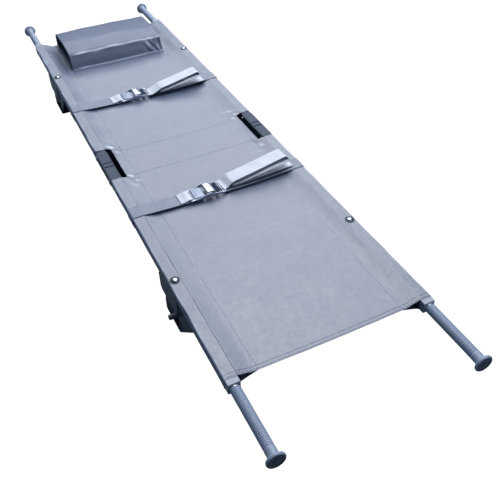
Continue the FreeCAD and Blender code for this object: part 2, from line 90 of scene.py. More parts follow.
class NodeTree:
    """Short way to add and join shader nodes.

    Args:
        material: The material whose tree is filled.
        fresh: Whether its nodes are cleared first.
    """

    def __init__(self, material: bpy.types.Material, fresh: bool = True) -> None:
        material.use_nodes = True
        self.tree = material.node_tree
        if fresh:
            self.tree.nodes.clear()

    def add(self, kind: str, **inputs):
        """Add a node.

        Args:
            kind: Blender's node type name.
            inputs: Values for its sockets (spaces written as underscores) or its properties.

        Returns:
            The new node.
        """
        node = self.tree.nodes.new(kind)
        for key, value in inputs.items():
            if hasattr(node, key):
                setattr(node, key, value)
            else:
                node.inputs[key.replace("_", " ")].default_value = value
        return node

    def join(self, source, target) -> None:
        """Link an output socket to an input socket."""
        self.tree.links.new(source, target)

    def ramp(self, value, source: Tuple[float, float] = (0.0, 1.0),
             target: Tuple[float, float] = (0.0, 1.0), shape: str = "LINEAR"):
        """Stretch of an output socket from one range to another.

        Args:
            value: The output socket.
            source: Its range.
            target: The new range.
            shape: Kind of interpolation.

        Returns:
            The stretched value's output socket.
        """
        node = self.add("ShaderNodeMapRange", interpolation_type=shape, From_Min=source[0],
                        From_Max=source[1], To_Min=target[0], To_Max=target[1])
        self.join(value, node.inputs["Value"])
        return node.outputs["Result"]

    def math(self, operation: str, *values):
        """Result of a calculation with output sockets and plain numbers, as an output socket."""
        node = self.add("ShaderNodeMath", operation=operation)
        for socket, value in zip(node.inputs, values):
            if isinstance(value, float):
                socket.default_value = value
            else:
                self.join(value, socket)
        return node.outputs[0]

    def blend(self, share, first, second):
        """Mix of two colours, each an output socket or a plain colour, as an output socket."""
        node = self.add("ShaderNodeMix", data_type="RGBA")
        self.join(share, node.inputs["Factor"])
        for place, colour in ((MIX_A, first), (MIX_B, second)):
            if isinstance(colour, tuple):
                node.inputs[place].default_value = (*colour, 1.0)
            else:
                self.join(colour, node.inputs[place])
        return node.outputs[MIX_OUT]

    def coords(self, scale: Point):
        """Object coordinates stretched by scale, as an output socket."""
        place = self.add("ShaderNodeTexCoord")
        mapping = self.add("ShaderNodeMapping")
        mapping.inputs["Scale"].default_value = scale
        self.join(place.outputs["Object"], mapping.inputs["Vector"])
        return mapping.outputs["Vector"]

    def noise(self, scale: float, detail: float = 4.0, stretch: Point = (1.0, 1.0, 1.0)):
        """Noise of a size, as an output socket from 0 to 1."""
        node = self.add("ShaderNodeTexNoise", Scale=scale, Detail=detail)
        self.join(self.coords(stretch), node.inputs["Vector"])
        return node.outputs["Fac"]

    def wave(self, axis: str, scale: float):
        """Sine bands along an axis, as an output socket from 0 to 1."""
        node = self.add("ShaderNodeTexWave", bands_direction=axis, Scale=scale, Distortion=0.0)
        self.join(self.coords((1.0, 1.0, 1.0)), node.inputs["Vector"])
        return node.outputs["Fac"]

    def sum(self, parts: Sequence[Tuple[object, float]]):
        """Weighted sum of output sockets."""
        total = None
        for socket, weight in parts:
            node = self.add("ShaderNodeMath", operation="MULTIPLY_ADD")
            self.join(socket, node.inputs[0])
            node.inputs[1].default_value = weight
            node.inputs[2].default_value = 0.0
            if total is not None:
                self.join(total, node.inputs[2])
            total = node.outputs[0]
        return total


@dataclass(frozen=True)
class Finish:
    """One surface finish, made of nodes.

    Args:
        name: Material name.
        slot: The record's material slot it stands for; not used.
        colour: Main colour, linear.
        second: Colour of the mottling, dust or worn spots.
        mottle: Noise scale of the colour change, per metre.
        contrast: How far the mottling moves to the second colour, 0 to 1.
        metallic: Principled metallic.
        roughness: Lowest and highest roughness.
        specular: Principled specular level.
        coat: Clear coat weight and its roughness.
        grain: Kind of relief.
        pitch: Relief scale, per metre.
        relief: Bump height in metres.
        folds: Height of broad soft creases in metres.
        painted_light: How far the colour moves to the painted highlight colour, 0 to 1, as marked per
            vertex on the mesh.
    """

    name: str
    slot: str
    colour: Colour
    second: Colour
    grain: Grain
    mottle: float = 18.0
    contrast: float = 0.5
    metallic: float = 0.0
    roughness: Tuple[float, float] = (0.4, 0.55)
    specular: float = 0.5
    coat: Tuple[float, float] = (0.0, 0.2)
    pitch: float = 900.0
    relief: float = 0.0002
    folds: float = 0.0
    painted_light: float = 0.0

    def grain_socket(self, nodes: NodeTree):
        """Relief pattern of this finish, as an output socket."""
        if self.grain is Grain.COATED:
            cloth = [(nodes.wave("X", self.pitch), 0.25), (nodes.wave("Y", self.pitch), 0.25)]
            return nodes.sum(cloth + [(nodes.noise(self.pitch * 1.4, 3.0), 0.7)])
        if self.grain is Grain.WEBBING:
            cords = nodes.wave("Y", self.pitch)
            picks = nodes.wave("X", self.pitch * 1.7)
            return nodes.sum([(cords, 0.6), (picks, 0.3), (nodes.noise(self.pitch * 2.0), 0.25)])
        if self.grain is Grain.BRUSHED:
            return nodes.noise(self.pitch, 5.0, (1.0, 0.04, 1.0))
        if self.grain is Grain.CAST:
            return nodes.noise(self.pitch, 6.0)
        if self.grain is Grain.MOULDED:
            return nodes.sum([(nodes.noise(self.pitch, 2.0), 0.8), (nodes.noise(self.pitch * 0.1), 0.4)])
        return nodes.noise(self.pitch, 2.0, (0.3, 1.0, 1.0))

    def paint_highlight(self, nodes: NodeTree, colour):
        """Lighten a colour towards the painted highlight colour where the mesh's vertex marks of painted
        light say so.

        Args:
            nodes: The tree to add to.
            colour: Output socket of the plain colour.

        Returns:
            Output socket of the colour with its painted highlights.
        """
        shape = nodes.add("ShaderNodeAttribute", attribute_name="painted_light")
        share = nodes.ramp(shape.outputs["Fac"], target=(0.0, self.painted_light))
        return nodes.blend(share, colour, PAINTED_HIGHLIGHT)

    def material(self) -> bpy.types.Material:
        """Build the material, or hand back the one already built."""
        known = bpy.data.materials.get(self.name)
        if known is not None:
            return known
        made = bpy.data.materials.new(self.name)
        nodes = NodeTree(made)
        shader = nodes.add("ShaderNodeBsdfPrincipled", Metallic=self.metallic)
        shader.inputs["Specular IOR Level"].default_value = self.specular
        for name, value in zip(("Coat Weight", "Coat Roughness"), self.coat):
            shader.inputs[name].default_value = value
        out = nodes.add("ShaderNodeOutputMaterial")
        nodes.join(shader.outputs["BSDF"], out.inputs["Surface"])
        blotch = nodes.noise(self.mottle, 6.0)
        fine = nodes.noise(self.mottle * 14.0, 3.0)
        mask = nodes.sum([(blotch, 0.75), (fine, 0.25)])
        share = nodes.ramp(mask, BLOTCH_RANGE, (0.0, self.contrast))
        colour = nodes.blend(share, self.colour, self.second)
        # painted highlights and painted light, as marked on the mesh, lighten the base colour
        if self.painted_light > 0.0:
            colour = self.paint_highlight(nodes, colour)
        nodes.join(colour, shader.inputs["Base Color"])
        nodes.join(nodes.ramp(fine, FINE_RANGE, self.roughness), shader.inputs["Roughness"])
        bump = nodes.add("ShaderNodeBump", Strength=1.0, Distance=self.relief)
        nodes.join(self.grain_socket(nodes), bump.inputs["Height"])
        if self.folds > 0.0:
            broad = nodes.add("ShaderNodeBump", Strength=1.0, Distance=self.folds)
            creases = [(nodes.noise(11.0, 3.0), 0.7), (nodes.noise(46.0, 3.0), 0.22)]
            nodes.join(nodes.sum(creases), broad.inputs["Height"])
            nodes.join(broad.outputs["Normal"], bump.inputs["Normal"])
        nodes.join(bump.outputs["Normal"], shader.inputs["Normal"])
        return made


class Finishes:
    """Every finish of the stretcher."""

    # SHEET and PILLOW take painted highlights where their meshes are marked for them
    SHEET = Finish("coated_bed_cloth", "bed_fabric", (0.062, 0.084, 0.150), (0.080, 0.103, 0.170),
                   Grain.COATED, mottle=7.0, contrast=0.6, roughness=(0.38, 0.48), specular=0.8,
                   coat=(0.12, 0.16), pitch=260.0, relief=0.00010, folds=0.0012, painted_light=0.9)
    PILLOW = Finish("head_rest_cloth", "bed_fabric", (0.060, 0.082, 0.148), (0.078, 0.100, 0.166),
                    Grain.COATED, mottle=9.0, contrast=0.6, roughness=(0.42, 0.52), specular=0.35,
                    coat=(0.12, 0.08), pitch=260.0, relief=0.00003, folds=0.0003, painted_light=0.9)
    BELT = Finish("belt_strap", "belt_webbing", (0.104, 0.130, 0.203), (0.142, 0.168, 0.240),
                  Grain.WEBBING, mottle=30.0, contrast=0.5, roughness=(0.42, 0.55), specular=0.8,
                  pitch=150.0, relief=0.00030)
    # the same webbing as BELT, painted much lighter: painted light for folds that catch the light
    LIT_WEBBING = Finish("belt_strap_painted_light", "belt_webbing", (0.42, 0.455, 0.54), (0.62, 0.655, 0.74),
                  Grain.WEBBING, mottle=30.0, contrast=0.6, roughness=(0.35, 0.50), specular=0.6,
                  pitch=150.0, relief=0.00030)
    RAIL = Finish("rail_tube_metal", "rail_aluminium", (0.55, 0.57, 0.60), (0.42, 0.44, 0.47),
                  Grain.BRUSHED, metallic=1.0, roughness=(0.28, 0.45), pitch=700.0, relief=0.00004)
    CAP = Finish("end_cap_grey", "end_cap_plastic", (0.215, 0.250, 0.330), (0.170, 0.200, 0.275),
                 Grain.MOULDED, mottle=25.0, contrast=0.5, roughness=(0.32, 0.45), pitch=1500.0,
                 relief=0.00006)
    HINGE = Finish("hinge_plate_metal", "hinge_metal", (0.020, 0.036, 0.070), (0.045, 0.064, 0.100),
                   Grain.CAST, mottle=35.0, contrast=0.5, metallic=0.0, roughness=(0.42, 0.55),
                   specular=0.18, pitch=900.0, relief=0.00008)
    BRACKET = Finish("bracket_coated_steel", "bracket_steel", (0.028, 0.042, 0.060),
                     (0.090, 0.105, 0.120), Grain.CAST, mottle=40.0, contrast=0.35,
                     roughness=(0.35, 0.50), specular=0.6, pitch=1300.0, relief=0.00007)
    BOLT = Finish("bolt_steel_bright", "bolt_steel", (0.30, 0.34, 0.41), (0.20, 0.23, 0.29),
                  Grain.POLISHED, mottle=60.0, contrast=0.5, metallic=1.0, roughness=(0.16, 0.30),
                  pitch=900.0, relief=0.00003)
    WASHER = Finish("cup_washer_dark", "bolt_steel", (0.030, 0.040, 0.055), (0.080, 0.090, 0.105),
                    Grain.CAST, mottle=60.0, contrast=0.4, metallic=0.4, roughness=(0.30, 0.42),
                    pitch=900.0, relief=0.00004)
    SKID = Finish("skid_moulding", "skid_plastic", (0.012, 0.021, 0.034), (0.035, 0.048, 0.062),
                  Grain.MOULDED, mottle=30.0, contrast=0.4, roughness=(0.36, 0.52), pitch=1200.0,
                  relief=0.00012)
    TUBE = Finish("handle_tube_metal", "handle_tube_metal", (0.16, 0.18, 0.22), (0.10, 0.12, 0.15),
                  Grain.BRUSHED, metallic=1.0, roughness=(0.22, 0.36), pitch=800.0, relief=0.00003)
    # grip moulding painted dark for the knob's end faces: painted shade where little light reaches them
    KNOB_END_PAINTED_SHADE = Finish("grip_end_painted_shade", "grip_rubber", (0.014, 0.024, 0.040), (0.030, 0.042, 0.060),
                      Grain.MOULDED, mottle=45.0, contrast=0.4, roughness=(0.40, 0.55), specular=0.4,
                      pitch=1600.0, relief=0.00006)
    GRIP = Finish("grip_moulding", "grip_rubber", (0.200, 0.250, 0.355), (0.215, 0.265, 0.370),
                  Grain.MOULDED, mottle=20.0, contrast=0.4, roughness=(0.44, 0.52), specular=0.5,
                  pitch=300.0, relief=0.00001)
    PLATE = Finish("buckle_pressed_steel", "buckle_steel", (0.20, 0.235, 0.32), (0.16, 0.19, 0.26),
                   Grain.POLISHED, mottle=50.0, contrast=0.4, metallic=0.45, roughness=(0.42, 0.52),
                   pitch=500.0, relief=0.00003)
    BUCKLE = Finish("buckle_polished_steel", "buckle_steel", (0.36, 0.40, 0.50),
                    (0.28, 0.32, 0.41), Grain.POLISHED, mottle=50.0, contrast=0.4, metallic=0.8,
                    roughness=(0.20, 0.30), pitch=500.0, relief=0.00004)


# --------------------------------------------------------------------------- mesh helpers


class Shape:
    """Mesh building shared by the sub-assemblies."""

    @staticmethod
    def make(name: str, points: np.ndarray, faces: Sequence[Sequence[int]], finish: Finish,
             crisp: float = 35.0) -> bpy.types.Object:
        """Object from points and faces, smooth except at edges sharper than crisp degrees."""
        mesh = bpy.data.meshes.new(name)
        mesh.from_pydata([tuple(map(float, p)) for p in points], [], [list(f) for f in faces])
        mesh.polygons.foreach_set("use_smooth", [True] * len(mesh.polygons))
        mesh.set_sharp_from_angle(angle=math.radians(crisp))
        mesh.update()
        mesh.materials.append(finish.material())
        made = bpy.data.objects.new(name, mesh)
        bpy.context.scene.collection.objects.link(made)
        return made

    @staticmethod
    def quads(rows: int, columns: int, close_rows: bool = False,
              close_columns: bool = False) -> List[Tuple[int, int, int, int]]:
        """Faces of a grid whose points run row by row."""
        faces = []
        for r in range(rows if close_rows else rows - 1):
            r2 = (r + 1) % rows
            for c in range(columns if close_columns else columns - 1):
                c2 = (c + 1) % columns
                faces.append((r * columns + c, r * columns + c2, r2 * columns + c2, r2 * columns + c))
        return faces

    @classmethod
    def cloth(cls, name: str, grid: np.ndarray, finish: Finish, thick: float,
              close_rows: bool = False, side: float = -1.0) -> bpy.types.Object:
        """Thin sheet through a grid of points, given a real thickness.

        Args:
            name: Object name.
            grid: Points, rows by columns by 3.
            finish: Its finish.
            thick: Thickness in metres.
            close_rows: Whether the last row joins the first.
            side: Side of the grid the thickness grows to, -1 to 1.

        Returns:
            The sheet.
        """
        rows, columns = grid.shape[:2]
        made = cls.make(name, grid.reshape(-1, 3), cls.quads(rows, columns, close_rows), finish, 50.0)
        solid = made.modifiers.new("thickness", "SOLIDIFY")
        solid.thickness = thick
        solid.offset = side
        shade = made.modifiers.new("shading", "WEIGHTED_NORMAL")
        shade.weight = 100
        return made

    @classmethod
    def lathe(cls, name: str, profile: Sequence[Tuple[float, float]], centre: Point, axis: str,
              finish: Finish, steps: int = 48) -> bpy.types.Object:
        """Turned piece: profile is (radius, place along the axis) from one end to the other."""
        points = []
        for radius, along in profile:
            for k in range(steps):
                a = 2 * math.pi * k / steps
                u, v = radius * math.cos(a), radius * math.sin(a)
                if axis == "Y":
                    points.append((centre[0] + u, along, centre[2] + v))
                else:
                    points.append((centre[0] + u, centre[1] + v, along))
        faces = cls.quads(len(profile), steps, close_columns=True)
        faces.append(tuple(range(steps)))
        faces.append(tuple(range(len(points) - 1, len(points) - 1 - steps, -1)))
        made = cls.make(name, np.array(points), faces, finish, 40.0)
        cls.face_out(made)
        return made

    @staticmethod
    def face_out(made: bpy.types.Object) -> None:
        """Turn every face of a closed mesh outwards."""
        work = bmesh.new()
        work.from_mesh(made.data)
        bmesh.ops.recalc_face_normals(work, faces=work.faces[:])
        work.to_mesh(made.data)
        work.free()

    @classmethod
    def bar(cls, name: str, path: np.ndarray, radius: float, finish: Finish, closed: bool = False,
            squash: float = 1.0, steps: int = 14) -> bpy.types.Object:
        """Round or flattened bar along a path."""
        count = len(path)
        points = []
        for i in range(count):
            before = path[i - 1] if i or closed else path[i]
            after = path[(i + 1) % count] if i < count - 1 or closed else path[i]
            along = (after - before) / np.linalg.norm(after - before)
            up = np.array((0.0, 0.0, 1.0)) if abs(along[2]) < 0.9 else np.array((0.0, 1.0, 0.0))
            wide = np.cross(along, up)
            wide /= np.linalg.norm(wide)
            tall = np.cross(wide, along)
            for k in range(steps):
                a = 2 * math.pi * k / steps
                points.append(path[i] + radius * (math.cos(a) * wide + squash * math.sin(a) * tall))
        faces = cls.quads(count, steps, close_rows=closed, close_columns=True)
        if not closed:
            faces.append(tuple(range(steps)))
            faces.append(tuple(range(len(points) - 1, len(points) - 1 - steps, -1)))
        made = cls.make(name, np.array(points), faces, finish, 60.0)
        cls.face_out(made)
        return made

    @classmethod
    def plate(cls, name: str, outline: Sequence[Tuple[float, float]], plane: str, low: float,
              high: float, finish: Finish, edge: float) -> bpy.types.Object:
        """Flat plate from an outline in the "xz" or "xy" plane, with rounded edges."""
        points = []
        for depth in (low, high):
            for a, b in outline:
                points.append((a, depth, b) if plane == "xz" else (a, b, depth))
        n = len(outline)
        faces = [tuple(range(n)), tuple(range(2 * n - 1, n - 1, -1))]
        for i in range(n):
            j = (i + 1) % n
            faces.append((i, j, n + j, n + i))
        made = cls.make(name, np.array(points), faces, finish)
        cls.face_out(made)
        cls.soften(made, edge)
        return made

    @staticmethod
    def mark(made: bpy.types.Object, name: str, values: np.ndarray) -> None:
        """Store one number from 0 to 1 at each vertex, for a material to read."""
        layer = made.data.attributes.new(name, "FLOAT", "POINT")
        layer.data.foreach_set("value", np.clip(values, 0, 1).astype(np.float32).ravel())

    @staticmethod
    def soften(made: bpy.types.Object, width: float) -> None:
        """Round the sharp edges with modifiers; the mesh itself stays as it is."""
        weld = made.modifiers.new("weld", "WELD")
        weld.merge_threshold = 0.00002
        bevel = made.modifiers.new("edge", "BEVEL")
        bevel.width = width
        bevel.segments = 2
        bevel.limit_method = "ANGLE"
        bevel.angle_limit = math.radians(35.0)

    @staticmethod
    def curve(points: Sequence[Sequence[float]], per_run: int = 8) -> np.ndarray:
        """Smooth line through points (Catmull-Rom)."""
        p = np.array(points, float)
        ends = np.vstack([2 * p[0] - p[1], p, 2 * p[-1] - p[-2]])
        line = []
        for i in range(1, len(ends) - 2):
            a, b, c, d = ends[i - 1:i + 3]
            for t in np.linspace(0.0, 1.0, per_run, endpoint=False):
                line.append(0.5 * (2 * b + (c - a) * t + (2 * a - 5 * b + 4 * c - d) * t ** 2
                                   + (3 * b - a - 3 * c + d) * t ** 3))
        line.append(p[-1])
        return np.array(line)


def ripple(x: np.ndarray, y: np.ndarray, seed: int, size: float, spread: float = math.pi,
           heading: float = 0.0, count: int = 10) -> np.ndarray:
    """Smooth seeded unevenness from -1 to 1, a sum of waves about one size and heading."""
    rng = np.random.default_rng(seed)
    total = np.zeros_like(x)
    for _ in range(count):
        angle = heading + spread * (rng.random() - 0.5)
        length = size * (0.6 + rng.random())
        phase = rng.random() * 2 * math.pi
        total += np.sin(2 * math.pi * (x * math.cos(angle) + y * math.sin(angle)) / length + phase)
    return total / math.sqrt(count) * 0.7


def bump_at(value: np.ndarray, centre: float, width: float) -> np.ndarray:
    """Bell from 0 to 1 round a centre."""
    return np.exp(-((value - centre) / width) ** 2)


def run_along(line: np.ndarray) -> np.ndarray:
    """Length along a line at each of its points."""
    return np.concatenate([[0], np.cumsum(np.linalg.norm(np.diff(line, axis=0), axis=1))])


@dataclass(frozen=True)
class Wrinkle:
    """One kind of unevenness of a cloth.

    Args:
        seed: Seed of its random waves.
        size: Typical wave length.
        height: Factor on the pattern, in metres where it moves the cloth.
        spread: How far the waves' headings differ, in radians.
        heading: Their middle heading, in radians.
    """

    seed: int
    size: float
    height: float
    spread: float = math.pi
    heading: float = 0.0

    def at(self, x: np.ndarray, y: np.ndarray) -> np.ndarray:
        """The unevenness at places on the cloth."""
        return self.height * ripple(x, y, self.seed, self.size, self.spread, self.heading)


# --------------------------------------------------------------------------- layout


@dataclass(frozen=True)
class Layout:
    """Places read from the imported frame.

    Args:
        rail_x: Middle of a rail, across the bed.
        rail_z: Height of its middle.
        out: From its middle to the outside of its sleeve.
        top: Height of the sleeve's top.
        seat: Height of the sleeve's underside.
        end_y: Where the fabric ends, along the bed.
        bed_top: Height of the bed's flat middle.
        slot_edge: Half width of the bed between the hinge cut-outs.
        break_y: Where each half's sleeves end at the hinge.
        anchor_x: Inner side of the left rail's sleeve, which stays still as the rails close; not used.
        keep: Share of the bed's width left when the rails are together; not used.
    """

    rail_x: float
    rail_z: float
    out: float
    top: float
    seat: float
    end_y: float
    bed_top: float
    slot_edge: float
    break_y: Dict[str, float]
    anchor_x: float
    keep: float

    @classmethod
    def read(cls) -> "Layout":
        """Work the places out from node boxes and joints."""
        low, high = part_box("right_head_sleeve")
        _, foot_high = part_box("right_foot_sleeve")
        _, bed_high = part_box("middle_bed_panel")
        joint = next(j for j in frame["joints"] if j["name"] == "strut_fold")
        angle = math.radians(max(joint["range_deg"])) if "range_deg" in joint else max(joint["range"])
        pivot = abs(joint["pos_m"][0]) if "pos_m" in joint else abs(joint["pos"][0])
        out = (high.x - low.x) / 2
        rail_x = (high.x + low.x) / 2
        inner = rail_x - out
        travel = 2 * pivot * (1 - math.cos(angle))
        return cls(
            rail_x=rail_x, rail_z=(high.z + low.z) / 2, out=out, top=high.z, seat=low.z,
            end_y=high.y, bed_top=bed_high.z, slot_edge=bed_high.x,
            break_y={"foot": foot_high.y, "head": low.y},
            anchor_x=-inner, keep=(2 * inner - travel) / (2 * inner))

    def inner(self) -> float:
        """Distance from the middle to the cloth on a rail's inner side."""
        return self.rail_x - self.out


@dataclass
class Builder:
    """Base of the sub-assemblies: the layout and the ways a soft piece is tied to the frame.

    Args:
        layout: Places of the frame.
    """

    layout: Layout

    def gather(self, piece: bpy.types.Object, body: str, anchor: Optional[float] = None,
               keep: Optional[float] = None) -> None:
        """Let a soft piece ride on a body, with a mesh of its own.

        Args:
            piece: The soft piece.
            body: Body that it rides on.
            anchor: Not used.
            keep: Not used.
        """
        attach(piece, body)
        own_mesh(piece)


# --------------------------------------------------------------------------- bed


@dataclass
class BedSheet(Builder):
    """The coated cloth: top sheet in three lengths, sleeves round the rails, lower layers.

    Args:
        layout: Places of the frame.
        thick: Thickness of the cloth.
        seam_x: The two weld lines of the seam beside a rail, from the middle.
        seam_height: How far a weld line stands up.
        seam_width: Half width of a weld line.
        seam_valley: How far the cloth sinks between the two lines.
        sag: How far the middle hangs below the seams.
        bow: Power that bends the slope from a seam up to its rail.
        edge_gap: Clear space between the sheet and a sleeve.
        edge_drop: How far the sheet's edge lies below the rail top.
        hem_lines: Weld lines of the end hems, from the end.
        hem_height: How far a hem line stands up.
        hem_width: Half width of a hem line.
        cross_lines: Faint weld lines across the bed.
        cross_depth: How far a cross line sinks.
        corner: Radius of the hinge cut-outs' corners.
        lip: How far the cloth curls up along a cut-out.
        rest_dip: Depth of the trough beside the head rest.
        rest_start: Where that trough starts, along the bed.
        rail_corner: Radius of the sleeve round the rail's edges.
        slot_crumple: Short creases near the hinge cut-outs.
        rest_crumple: Change of the trough beside the head rest.
        end_wave: Waves of the two ends.
        broad_wave: Waves of the whole sheet.
        fine_wave: Short waves of the whole sheet.
        lower_wave: Waves of the lower layers.
        crease_glint: Pattern of the painted glints on the short creases.
        rail_wave: Waves along a sleeve.
        rail_crumple: Short creases of a sleeve near its hinge.
        highlight_breakup: Pattern that breaks up the painted highlight along a sleeve's top outer edge.
    """

    thick: float = 0.0009
    seam_x: Tuple[float, float] = (0.1955, 0.2045)
    seam_height: float = 0.0004
    seam_width: float = 0.0011
    seam_valley: float = 0.0002
    sag: float = 0.0035
    bow: float = 1.25
    edge_gap: float = 0.0002
    edge_drop: float = 0.0006
    hem_lines: Tuple[float, float] = (0.0045, 0.0135)
    hem_height: float = 0.0006
    hem_width: float = 0.0010
    cross_lines: Tuple[float, float] = (-0.655, -0.531)
    cross_depth: float = 0.0001
    corner: float = 0.0035
    lip: float = 0.0006
    rest_dip: float = 0.0050
    rest_start: float = 0.62
    rail_corner: float = 0.0032
    slot_crumple: Wrinkle = Wrinkle(11, 0.028, 0.0009, 1.6, 0.9)
    rest_crumple: Wrinkle = Wrinkle(5, 0.09, 0.2)
    end_wave: Wrinkle = Wrinkle(21, 0.14, 0.0006, 0.8)
    broad_wave: Wrinkle = Wrinkle(3, 0.16, 0.00055)
    fine_wave: Wrinkle = Wrinkle(8, 0.05, 0.00020)
    lower_wave: Wrinkle = Wrinkle(31, 0.1, 0.0007)
    crease_glint: Wrinkle = Wrinkle(11, 0.026, 2.6, 1.2, 0.9)
    rail_wave: Dict[str, Wrinkle] = field(default_factory=lambda: {
        "left": Wrinkle(40, 0.07, 0.00035), "right": Wrinkle(42, 0.07, 0.00035)})
    rail_crumple: Wrinkle = Wrinkle(17, 0.02, 0.0005, 1.2, 0.4)
    highlight_breakup: Wrinkle = Wrinkle(51, 0.12, 0.4, 0.6, math.pi / 2)

    def past_break(self, y: np.ndarray) -> np.ndarray:
        """How far y lies inside the stretch of the hinge cut-outs; negative outside it."""
        return np.minimum(y - self.layout.break_y["foot"], self.layout.break_y["head"] - y)

    def half_width(self, y: np.ndarray) -> np.ndarray:
        """Half width of the top sheet at y, drawn in along the hinge cut-outs."""
        wide, narrow = self.layout.inner() - self.edge_gap, self.layout.slot_edge
        t = np.clip(self.past_break(y) / self.corner, 0.0, 1.0)
        round_in = np.sqrt(np.clip(1 - (1 - t) ** 2, 0.0, 1.0))
        return wide - (wide - narrow) * round_in

    def welds(self, ax: np.ndarray, y: np.ndarray) -> np.ndarray:
        """Relief of the weld lines.

        Args:
            ax: Distances from the middle.
            y: Places along.

        Returns:
            Heights to add.
        """
        z = -self.seam_valley * bump_at(ax, sum(self.seam_x) / 2, 0.003)
        for line in self.seam_x:
            z = z + self.seam_height * bump_at(ax, line, self.seam_width)
        for line in self.hem_lines:
            z = z + self.hem_height * bump_at(np.abs(y), self.layout.end_y - line, self.hem_width)
        for line in self.cross_lines:
            z = z - self.cross_depth * bump_at(y, line, 0.004) * np.clip(1 - (ax / 0.19) ** 6, 0, 1)
        return z

    def height(self, x: np.ndarray, y: np.ndarray) -> np.ndarray:
        """Height of the top sheet.

        Args:
            x: Places across.
            y: Places along.

        Returns:
            Heights above the ground.
        """
        lay = self.layout
        ax = np.abs(x)
        edge, seam = lay.inner(), self.seam_x[1]
        slant = np.clip((ax - seam) / (edge - seam), 0.0, 1.0)
        rise = (lay.top - self.edge_drop - lay.bed_top) * (slant ** self.bow)
        z = lay.bed_top + rise - self.sag * np.clip(1 - (ax / seam) ** 2, 0.0, 1.0)
        z = z + self.welds(ax, y)
        inside = self.past_break(y)
        near_slot = np.exp(-(inside / 0.045) ** 2) * np.clip((ax - 0.15) / 0.06, 0, 1)
        z = z + near_slot * self.slot_crumple.at(x, y)
        by_slot = np.clip((ax - lay.slot_edge + 0.004) / 0.004, 0, 1) * (inside > 0)
        z = z + self.lip * by_slot * slant
        near_rest = np.clip((y - self.rest_start) / 0.1, 0, 1) * bump_at(ax, 0.205, 0.030)
        z = z - self.rest_dip * near_rest * (0.8 + self.rest_crumple.at(x, y))
        ends = np.clip((np.abs(y) - 0.90) / 0.07, 0, 1)
        return z + ends * self.end_wave.at(x, y) + self.broad_wave.at(x, y) + self.fine_wave.at(x, y)

    def columns(self) -> np.ndarray:
        """Places across the sheet from -1 to 1, closer together at the seams."""
        wide = self.layout.inner()
        step = self.seam_width / 2
        fine = [line + k * step for line in self.seam_x for k in range(-4, 5)]
        plain = list(np.linspace(0.0, self.seam_x[0] - 0.004, 26))
        slant = list(np.linspace(self.seam_x[1] + 0.0045, wide, 12))
        half = np.array(sorted(plain + fine + slant)) / wide
        return np.concatenate([-half[:0:-1], half])

    def rows(self, y0: float, y1: float) -> np.ndarray:
        """Places along the sheet, closer together at hems and cut-outs.

        Args:
            y0: First place.
            y1: Last place.

        Returns:
            The places in order, both ends included.
        """
        places = list(np.arange(y0, y1, 0.0065)) + [y1]
        for line in (*self.hem_lines, 0.0):
            for sign in HALVES.values():
                places += [sign * (self.layout.end_y - line) + k * 0.0006 for k in range(-3, 4)]
        for name, sign in HALVES.items():
            start = self.layout.break_y[name]
            places += [start - sign * self.corner * (1 - math.cos(a))
                       for a in np.linspace(0.0, math.pi / 2, 9)]
        for line in self.cross_lines:
            places += [line + k * 0.0015 for k in range(-3, 4)]
        kept = [y0]
        for y in sorted(p for p in places if y0 < p < y1):
            if y - kept[-1] > 0.0003:
                kept.append(y)
        return np.array(kept + [y1])

    def top_sheet(self, name: str, node: str, body: str) -> bpy.types.Object:
        """One length of the top sheet.

        Args:
            name: Name of the piece.
            node: CAD node that it stands for.
            body: Body that it rides on.

        Returns:
            The piece.
        """
        low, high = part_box(node)
        y0, y1 = low.y, high.y
        share, y = np.meshgrid(self.columns(), self.rows(y0, y1))
        wide = self.layout.inner()
        seam = self.seam_x[1] + 0.003
        ax = np.abs(share) * wide
        pulled = seam + (ax - seam) * (self.half_width(y) - seam) / (wide - seam)
        x = np.sign(share) * np.where(ax > seam, pulled, ax)
        grid = np.stack([x, y, self.height(x, y)], axis=-1)
        made = Shape.cloth(name, grid, Finishes.SHEET, self.thick, side=1.0)
        self.mark_painted_light(made, x, y)
        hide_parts(node)
        self.gather(made, body)
        return made

    def mark_painted_light(self, made: bpy.types.Object, x: np.ndarray, y: np.ndarray) -> None:
        """Mark painted highlights: glints on the short creases round the cut-outs and light lines along the
        weld lines.

        Args:
            made: The sheet.
            x: Places across, one for each vertex.
            y: Places along, one for each vertex.
        """
        ax = np.abs(x)
        near = np.exp(-((self.past_break(y) + 0.012) / 0.030) ** 2) * bump_at(ax, 0.216, 0.018)
        # painted glints on the creases near the cut-outs
        painted_light = near * np.clip(self.crease_glint.at(x, y) - 1.2, 0, 1)
        # painted highlight lines along the weld lines, lengthwise and across
        for line in self.seam_x:
            painted_light = painted_light + 0.065 * bump_at(ax, line, 0.0012)
        for line in self.cross_lines:
            painted_light = painted_light + 0.04 * bump_at(y, line, 0.0025)
        Shape.mark(made, "painted_light", painted_light)

    def lower_layer(self, side: str, half: str) -> bpy.types.Object:
        """The cloth that comes back from under a rail up to the weld seam.

        Args:
            side: "left" or "right".
            half: "foot" or "head".

        Returns:
            The piece.
        """
        lay, sign = self.layout, SIDES[side]
        y0, y1 = sorted((HALVES[half] * (lay.end_y - 0.001), lay.break_y[half]))
        u, y = np.meshgrid(np.linspace(0, 1, 12), self.rows(y0, y1))
        x = lay.inner() + 0.0005 - (lay.inner() - self.seam_x[0]) * u
        rise = (lay.bed_top - 0.0026 - lay.seat) * (u ** 0.8)
        z = lay.seat + 0.0004 + rise + np.sin(math.pi * u) * self.lower_wave.at(x, y)
        made = Shape.cloth(f"{side}_{half}_lower_layer", np.stack([sign * x, y, z], axis=-1),
                           Finishes.SHEET, self.thick, side=0.0)
        self.gather(made, f"left_{half}_rail_unit")
        run = math.hypot(lay.inner() - self.seam_x[0], lay.bed_top - lay.seat)
        return made

